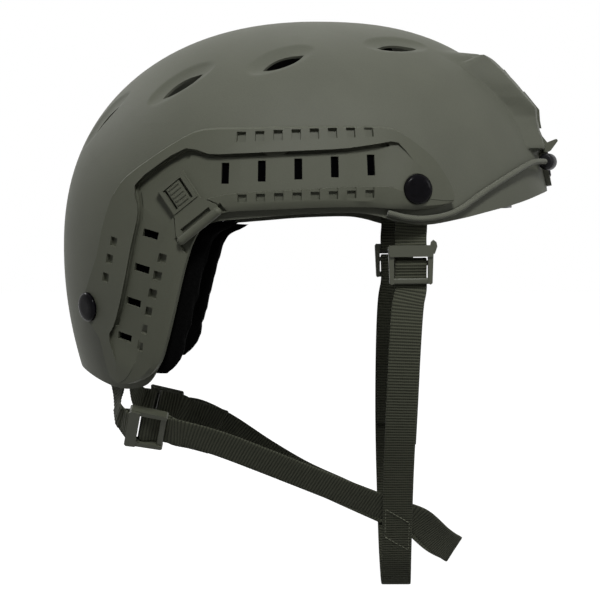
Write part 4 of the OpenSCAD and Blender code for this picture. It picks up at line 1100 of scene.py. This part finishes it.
def frame_of(at, across, up):
    """A buckle's frame: its middle, across it, up it and out of it."""
    up = unit(Vector(up))
    across = Vector(across)
    across = unit(across - up * across.dot(up))
    return Vector(at), across, up, across.cross(up)


def path_in(f, path):
    """A path up and out of a buckle, as places on a strap's axis."""
    return [(f[0] + f[2] * y + f[3] * z, f[1]) for y, z in path]


FRONT_FRAME = frame_of((56, -88.4, -108), (1, 0, 0), (-0.01, -0.03, 1))
REAR_FRAME = frame_of((-79.6, -64.6, -192.3), (0.16, -0.52, 0.84), (-1, -0.05, 0.19))


def buckle_paths(web_t):
    """The webbing's and the loop's way through a ladder buckle: along it and outwards."""
    half, bar_thick, bar_half, gap = 10.0, 1.9, 1.3, 0.4
    loop_y, middle_y, lower_y = half - 1.8, 0.9, 1.9 - half
    turn = middle_y + bar_half + gap + web_t / 2
    front = 0.55 + 0.7 + web_t / 2
    back = 0.55 - bar_thick - gap - web_t / 2
    layer = bar_thick / 2 + gap + web_t / 2
    low = loop_y - bar_half - gap - web_t / 2
    # Where the webbing bends round a bar, it has come down to this share of its height.
    bend = 0.86
    web = [
        (-half, back), (-4, back), (turn - 3.4, back), (turn - 0.9, back * bend), (turn, 0),
        (turn - 0.9, front * bend), (turn - 3.4, front), (turn - 6.4, 0.7), (lower_y + 1.5, 0), (lower_y - 4.5, 0),
    ]
    loop = [
        (loop_y + 6, layer * 0.8), (loop_y + 1, layer), (low + 0.9, layer * bend), (low, 0),
        (low + 0.9, -layer * bend), (loop_y + 1, -layer), (loop_y + 6, web_t / 2 - 0.3 - layer),
    ]
    return web, loop


def places(*pairs):
    """Places on a strap's axis, each with the direction of the width there."""
    return [(Vector(p), Vector(w)) for p, w in pairs]


def strap(name, line, sizes, whole=False, sag=None):
    """Webbing along a line: a flat band with woven edges and a rib every pitch. A whole strap has a far half,
    which may sag by its own amount at each place."""
    points = spline([p for p, w in line], 8)
    wide = spline([w for p, w in line], 8)
    if whole:
        far = spline([p + q for (p, w), q in zip(line, sag)], 8) if sag else points
        points = points + [flip(p) for p in reversed(far[:-1])]
        wide += [-flip(w) for w in reversed(wide[:-1])]
    width, thick = sizes.webbing_width / MM, sizes.webbing_thickness / MM
    pitch, depth = sizes.rib_pitch / MM, sizes.rib_depth / MM
    stations, _ = resample(points, wide, pitch / RIB_STEPS)
    centres = [p for p, w in stations]
    rows = []
    for i, (p, w) in enumerate(stations):
        along = unit(heading(centres, i))
        across = unit(w - along * w.dot(along))
        out = along.cross(across)
        rib = thick / 2 - depth * (0.5 + 0.5 * math.cos(math.tau * i / RIB_STEPS))
        low, top = ([p + across * (width / 2 * a) + out * (side * rib * f) for a, f in zip(WEB_ACROSS, WEB_FILL)]
                    for side in (-1, 1))
        rows.append(low + top[::-1])
    # The UV map counts the ribs, so that the weave's bands lie on them.
    o = loft(name, rows, (2 * width / 10, (len(stations) - 1) / RIB_STEPS * pitch / 10))
    smooth(o, 70)
    return o


def both_loops(name, line, sizes, bolt):
    """A loop with a hole for its bolt, and its twin on the left."""
    right = strap("right_%s_webbing" % name, line, sizes)
    at, u, v, w = bolt
    reach = w * HOLE_REACH
    combine(right, prism("hole", ring(at - reach, u, v, BOLT_HOLE, 24), 2 * reach), "DIFFERENCE")
    left = mirrored(right, "left_%s_webbing" % name)
    for o, side in ((right, "right_"), (left, "left_")):
        smooth(o, 70)
        dress(o, "woven_webbing", ROOT, "loop_webbing", side + name)


class HELMET_OT_loops(bpy.types.Operator):
    """Sew the short loops that hang the buckles from the rail bolts"""

    bl_idname = "helmet.loops"
    bl_label = "Buckle loops"

    def execute(self, context):
        sizes = context.scene.helmet_harness
        form = Form(context.scene.helmet_shell)
        web_t = sizes.webbing_thickness / MM
        seat = form.wall + LOOP_GAP + web_t / 2
        _, loop = buckle_paths(web_t)

        def under(x, z):
            return form.side_at(x, z) - form.side_out(x, z) * seat, form.side_along(x, z)

        front = [under(FRONT_BOLT[0], z) for z in (-61.5, -66, FRONT_BOLT[1], -79)]
        front += places(((56.3, -90.9, -86), (1, 0.2, 0)))
        front += path_in(FRONT_FRAME, loop)
        front += places(((56.2, -88.9, -88), (1, 0.1, 0)), ((56.3, -89.2, -82), (1, 0.2, 0)))
        both_loops("front_loop", front, sizes, form.on_side(*FRONT_BOLT))
        rear = [under(x, z) for x, z in ((-106, -121.5), REAR_BOLT, (-104, -138))]
        rear += places(
            ((-98.8, -50.0, -150), (0.7, -0.7, 0)), ((-96.6, -50, -163), (0.62, -0.78, 0)),
            ((-95, -53.2, -175), (0.4, -0.85, 0.2)), ((-95, -58.8, -185), (0.2, -0.7, 0.65)))
        rear += path_in(REAR_FRAME, [(10.4, loop[1][1] * 0.62), (8.2, loop[1][1])] + loop[2:-1])
        rear += places(((-94.2, -62.8, -187), (0.2, -0.7, 0.65)), ((-95.2, -59.0, -180.5), (0.3, -0.8, 0.4)))
        both_loops("rear_loop", rear, sizes, form.on_side(*REAR_BOLT))
        return {"FINISHED"}


# The near half of the chin strap hangs straight: a point of its axis, its slope, and the ways down it and out of it
CHIN_Y, CHIN_Z, CHIN_SLOPE = -52, -220, -0.6346
CHIN_DOWN, CHIN_OUT = Vector((0, 0.536, -0.844)), Vector((0, -0.844, -0.536))
# How much lower the nape strap's far half hangs, and how far the stitches' middles lie off the chin strap's axis
NAPE_SAG, STITCH_LIFT = 12, 0.68


class HELMET_OT_straps(bpy.types.Operator):
    """Thread the chin strap and the nape strap from buckle to buckle"""

    bl_idname = "helmet.straps"
    bl_label = "Chin and nape straps"

    def execute(self, context):
        sizes = context.scene.helmet_harness
        web_t, drop = sizes.webbing_thickness / MM, sizes.chin_drop / MM
        web, _ = buckle_paths(web_t)
        x = (1, 0, 0)
        front = places(
            ((52.6, -58.5, -202), x), ((53.0, -70, -180), x), ((53.6, -80.2, -154), x), ((54.6, -84.6, -133), x))
        front += path_in(FRONT_FRAME, web)
        front += places(
            ((54.4, -88.0, -130), x), ((53.4, -86.4, -145), x), ((52.6, -79.8, -168), x), ((52, -68.0, -194), x),
            ((51.8, -52, -220), x), ((52, -35.5, -246), x), ((52.3, -21.5, -268), x),
            ((52.8, -8.5, 3.6 - drop), x), ((53, 0, web_t / 2 - drop), x))
        chin = strap("chin_webbing", front, sizes, whole=True)
        dress(chin, "woven_webbing", ROOT, "strap_webbing", "chin_strap")
        wide = (0.4, -0.5, 0.76)
        way = unit(Vector((0.9, 0.24, -0.36)))
        join = Vector((52, -38.3, -241.6)) - CHIN_OUT * (web_t + 0.5)
        rear = places(((-45, -57, -201.5), wide), ((-55, -60.5, -198.4), wide), ((-64, -62.3, -196.2), wide))
        rear += path_in(REAR_FRAME, web)
        rear += places(
            ((-58, -65.3, -196.6), (0.25, -0.52, 0.82)), ((-42, -62.5, -201.5), (0.32, -0.5, 0.8)),
            ((-21, -57.6, -210), (0.34, -0.5, 0.79)), ((0, -51.7, -219), (0.37, -0.5, 0.78)),
            ((21, -45.9, -228), (0.39, -0.49, 0.77)), (join - 13 * way, (0.41, -0.49, 0.75)),
            (join, (0.41, -0.49, 0.75)), (join + 12 * way, (0.42, -0.46, 0.76)),
            ((75, -20, -257.5), (0.48, -0.3, 0.8)), ((83, -8, -264.5), (0.53, -0.1, 0.83)),
            ((85, 0, -266.4), (0.55, 0, 0.84)))
        # The far half hangs lower, along the chin strap, as in the photograph.
        shares = [0] * (len(rear) - 11) + [0, 0.3, 0.75, 1, 1, 1, 1, 0.9, 0.55, 0.15, 0]
        sag = [CHIN_DOWN * (NAPE_SAG * share) for share in shares]
        nape = strap("nape_webbing", rear, sizes, whole=True, sag=sag)
        dress(nape, "woven_webbing", ROOT, "strap_webbing", "nape_strap")
        return {"FINISHED"}


def chin_face(x, z):
    """A point of the chin strap's outer face, where its near half hangs straight."""
    return Vector((x, CHIN_Y + CHIN_SLOPE * (z - CHIN_Z), z)) + CHIN_OUT * STITCH_LIFT


class HELMET_OT_stitching(bpy.types.Operator):
    """Sew the nape strap to the chin strap with a box of stitches on each side"""

    bl_idname = "helmet.stitching"
    bl_label = "Stitching"

    def execute(self, context):
        corners = [chin_face(x, z) for x, z in ((45.6, -238.5), (58.4, -246.3), (58.4, -262.5), (45.6, -254.7))]
        pitch, reach, thick = 2.3, 1.8, 0.5
        stitches = []
        for a, b in zip(corners, corners[1:] + corners[:1]):
            count = round((b - a).length / pitch)
            stitches += [(a.lerp(b, (k + 0.5) / count), unit(b - a)) for k in range(count)]
        deselect()
        bpy.ops.mesh.primitive_uv_sphere_add(segments=8, ring_count=6, radius=thick / 2 * MM)
        first = bpy.context.object
        first.name = "right_stitches"
        shape = first.data.copy()
        made = []
        for at, along in stitches:
            o = in_scene("stitch", shape.copy())
            turn = along.to_track_quat("Z", "Y").to_matrix().to_4x4()
            stretch = Matrix.Diagonal((1, 1, reach / thick, 1))
            o.data.transform(Matrix.Translation(at * MM) @ turn @ stretch)
            made.append(o)
        first.data.clear_geometry()
        work_on(first)
        for o in made:
            o.select_set(True)
        bpy.ops.object.join()
        smooth(first, 60)
        twin = mirrored(first, "left_stitches")
        for o in (first, twin):
            dress(o, "sewing_thread", ROOT, "strap_webbing")
        return {"FINISHED"}


class HELMET_OT_buckles(bpy.types.Operator):
    """Ease the edges of the four ladder buckles"""

    bl_idname = "helmet.buckles"
    bl_label = "Buckles"

    def execute(self, context):
        for node in ("right_front_buckle", "left_front_buckle", "right_rear_buckle", "left_rear_buckle"):
            refine(node, "acetal_buckle", "buckle_plastic", edge=0.25, angle=40)
        return {"FINISHED"}


# Stage

FLOOR_SIZE, FLOOR_LEVEL = 12, -0.302
AIM = Vector((0, 0, -0.08))
# Lamps: name, place, size and power
LAMPS = [
    ("key", (0.12, -1.36, 1.24), 0.4, 25), ("front", (1.7, -0.62, 0.5), 0.5, 4.5),
    ("rear", (-1.35, 0.78, 1.01), 0.5, 8), ("back", (0, 0.95, 1.57), 0.5, 3.5),
]
CAMERA_PLACE, CAMERA_DIP = (0, -1.1, -0.0926), 1.88


def lamp(name, at, size, power):
    """A square lamp that is aimed at the helmet's middle."""
    light = bpy.data.lights.new(name, "AREA")
    light.size = size
    light.energy = power
    o = in_scene(name, light)
    o.location = at
    o.rotation_euler = (AIM - Vector(at)).to_track_quat("-Z", "Y").to_euler()


def seen_directly(tree):
    """1 where the camera, a mirror or glass looks straight at a surface."""
    path = add(tree, "LightPath")
    seen = path.outputs["Is Camera Ray"]
    for ray in ("Is Glossy Ray", "Is Transmission Ray"):
        seen = add(tree, "Math", {0: seen, 1: path.outputs[ray]}, operation="MAXIMUM").outputs[0]
    return seen


class HELMET_OT_stage(bpy.types.Operator):
    """Set up the floor, the world, the lamps and the camera"""

    bl_idname = "helmet.stage"
    bl_label = "Stage"

    def execute(self, context):
        scene = context.scene
        deselect()
        bpy.ops.mesh.primitive_plane_add(size=FLOOR_SIZE, location=(0, 0, FLOOR_LEVEL))
        floor = context.object
        floor.name = "floor"
        made = Finish("white_paper")
        tree = made.tree
        paper = add(tree, "BsdfDiffuse", {"Color": (0.3, 0.3, 0.3, 1)})
        away = add(tree, "BsdfDiffuse", {"Color": (0.2, 0.2, 0.2, 1)})
        # The paper's own white is a little lower near the helmet, so that its shadow shows there.
        far = add(tree, "VectorMath", {0: made.at}, operation="LENGTH").outputs["Value"]
        glow = add(tree, "Emission", {"Color": (1, 1, 1, 1), "Strength": made.spread(far, 0.2, 1.6, 0.94, 1.0)})
        lit = add(tree, "AddShader", {0: paper.outputs[0], 1: glow.outputs[0]})
        mix = add(tree, "MixShader", {0: seen_directly(tree), 1: away.outputs[0], 2: lit.outputs[0]})
        add(tree, "OutputMaterial", {"Surface": mix.outputs[0]})
        floor.data.materials.append(made.material)

        world = scene.world or bpy.data.worlds.new("studio")
        scene.world = world
        world.use_nodes = True
        tree = world.node_tree
        tree.nodes.clear()
        soft = add(tree, "Background", {"Color": (1, 1, 1, 1), "Strength": 0.03})
        white = add(tree, "Background", {"Color": (1, 1, 1, 1), "Strength": 1.0})
        mix = add(tree, "MixShader", {0: seen_directly(tree), 1: soft.outputs[0], 2: white.outputs[0]})
        add(tree, "OutputWorld", {"Surface": mix.outputs[0]})
        for settings in LAMPS:
            lamp(*settings)

        view = bpy.data.cameras.new("camera")
        view.sensor_width = 36
        view.lens = 120
        view.clip_start = 0.05
        camera = in_scene("camera", view)
        camera.location = CAMERA_PLACE
        camera.rotation_euler = (math.radians(90 - CAMERA_DIP), 0, 0)
        scene.camera = camera
        scene.view_settings.view_transform = "Standard"
        return {"FINISHED"}


class HELMET_PT_panel(bpy.types.Panel):
    """Lists the helmet's sizes, finishes and pieces"""

    bl_idname = "HELMET_PT_panel"
    bl_label = "Combat Helmet"
    bl_space_type = "VIEW_3D"
    bl_region_type = "UI"
    bl_category = "Helmet"

    def draw(self, context):
        for name, group in GROUPS.items():
            column = self.layout.column()
            for key in group.__annotations__:
                column.prop(getattr(context.scene, name), key)
        for operator in OPERATORS:
            self.layout.operator(operator.bl_idname)


GROUPS = {
    "helmet_shell": HelmetShellSizes, "helmet_harness": HelmetHarnessSizes, "helmet_liner": HelmetLinerSizes,
    "helmet_finishes": HelmetFinishes,
}
OPERATORS = (
    HELMET_OT_shell, HELMET_OT_rails, HELMET_OT_clips, HELMET_OT_shroud, HELMET_OT_fasteners, HELMET_OT_cords,
    HELMET_OT_pads, HELMET_OT_headband, HELMET_OT_loops, HELMET_OT_straps, HELMET_OT_stitching,
    HELMET_OT_buckles, HELMET_OT_stage,
)


def register():
    for made in (*GROUPS.values(), *OPERATORS, HELMET_PT_panel):
        bpy.utils.register_class(made)
    for name, group in GROUPS.items():
        setattr(bpy.types.Scene, name, bpy.props.PointerProperty(type=group))


def unregister():
    for name in GROUPS:
        delattr(bpy.types.Scene, name)
    for made in (HELMET_PT_panel, *OPERATORS, *GROUPS.values()):
        bpy.utils.unregister_class(made)


def main():
    register()
    bpy.ops.helmet.shell()
    bpy.ops.helmet.rails()
    bpy.ops.helmet.clips()
    bpy.ops.helmet.shroud()
    bpy.ops.helmet.fasteners()
    bpy.ops.helmet.cords()
    bpy.ops.helmet.pads()
    bpy.ops.helmet.headband()
    bpy.ops.helmet.loops()
    bpy.ops.helmet.straps()
    bpy.ops.helmet.stitching()
    bpy.ops.helmet.buckles()
    bpy.ops.helmet.stage()


if __name__ == "__main__":
    main()
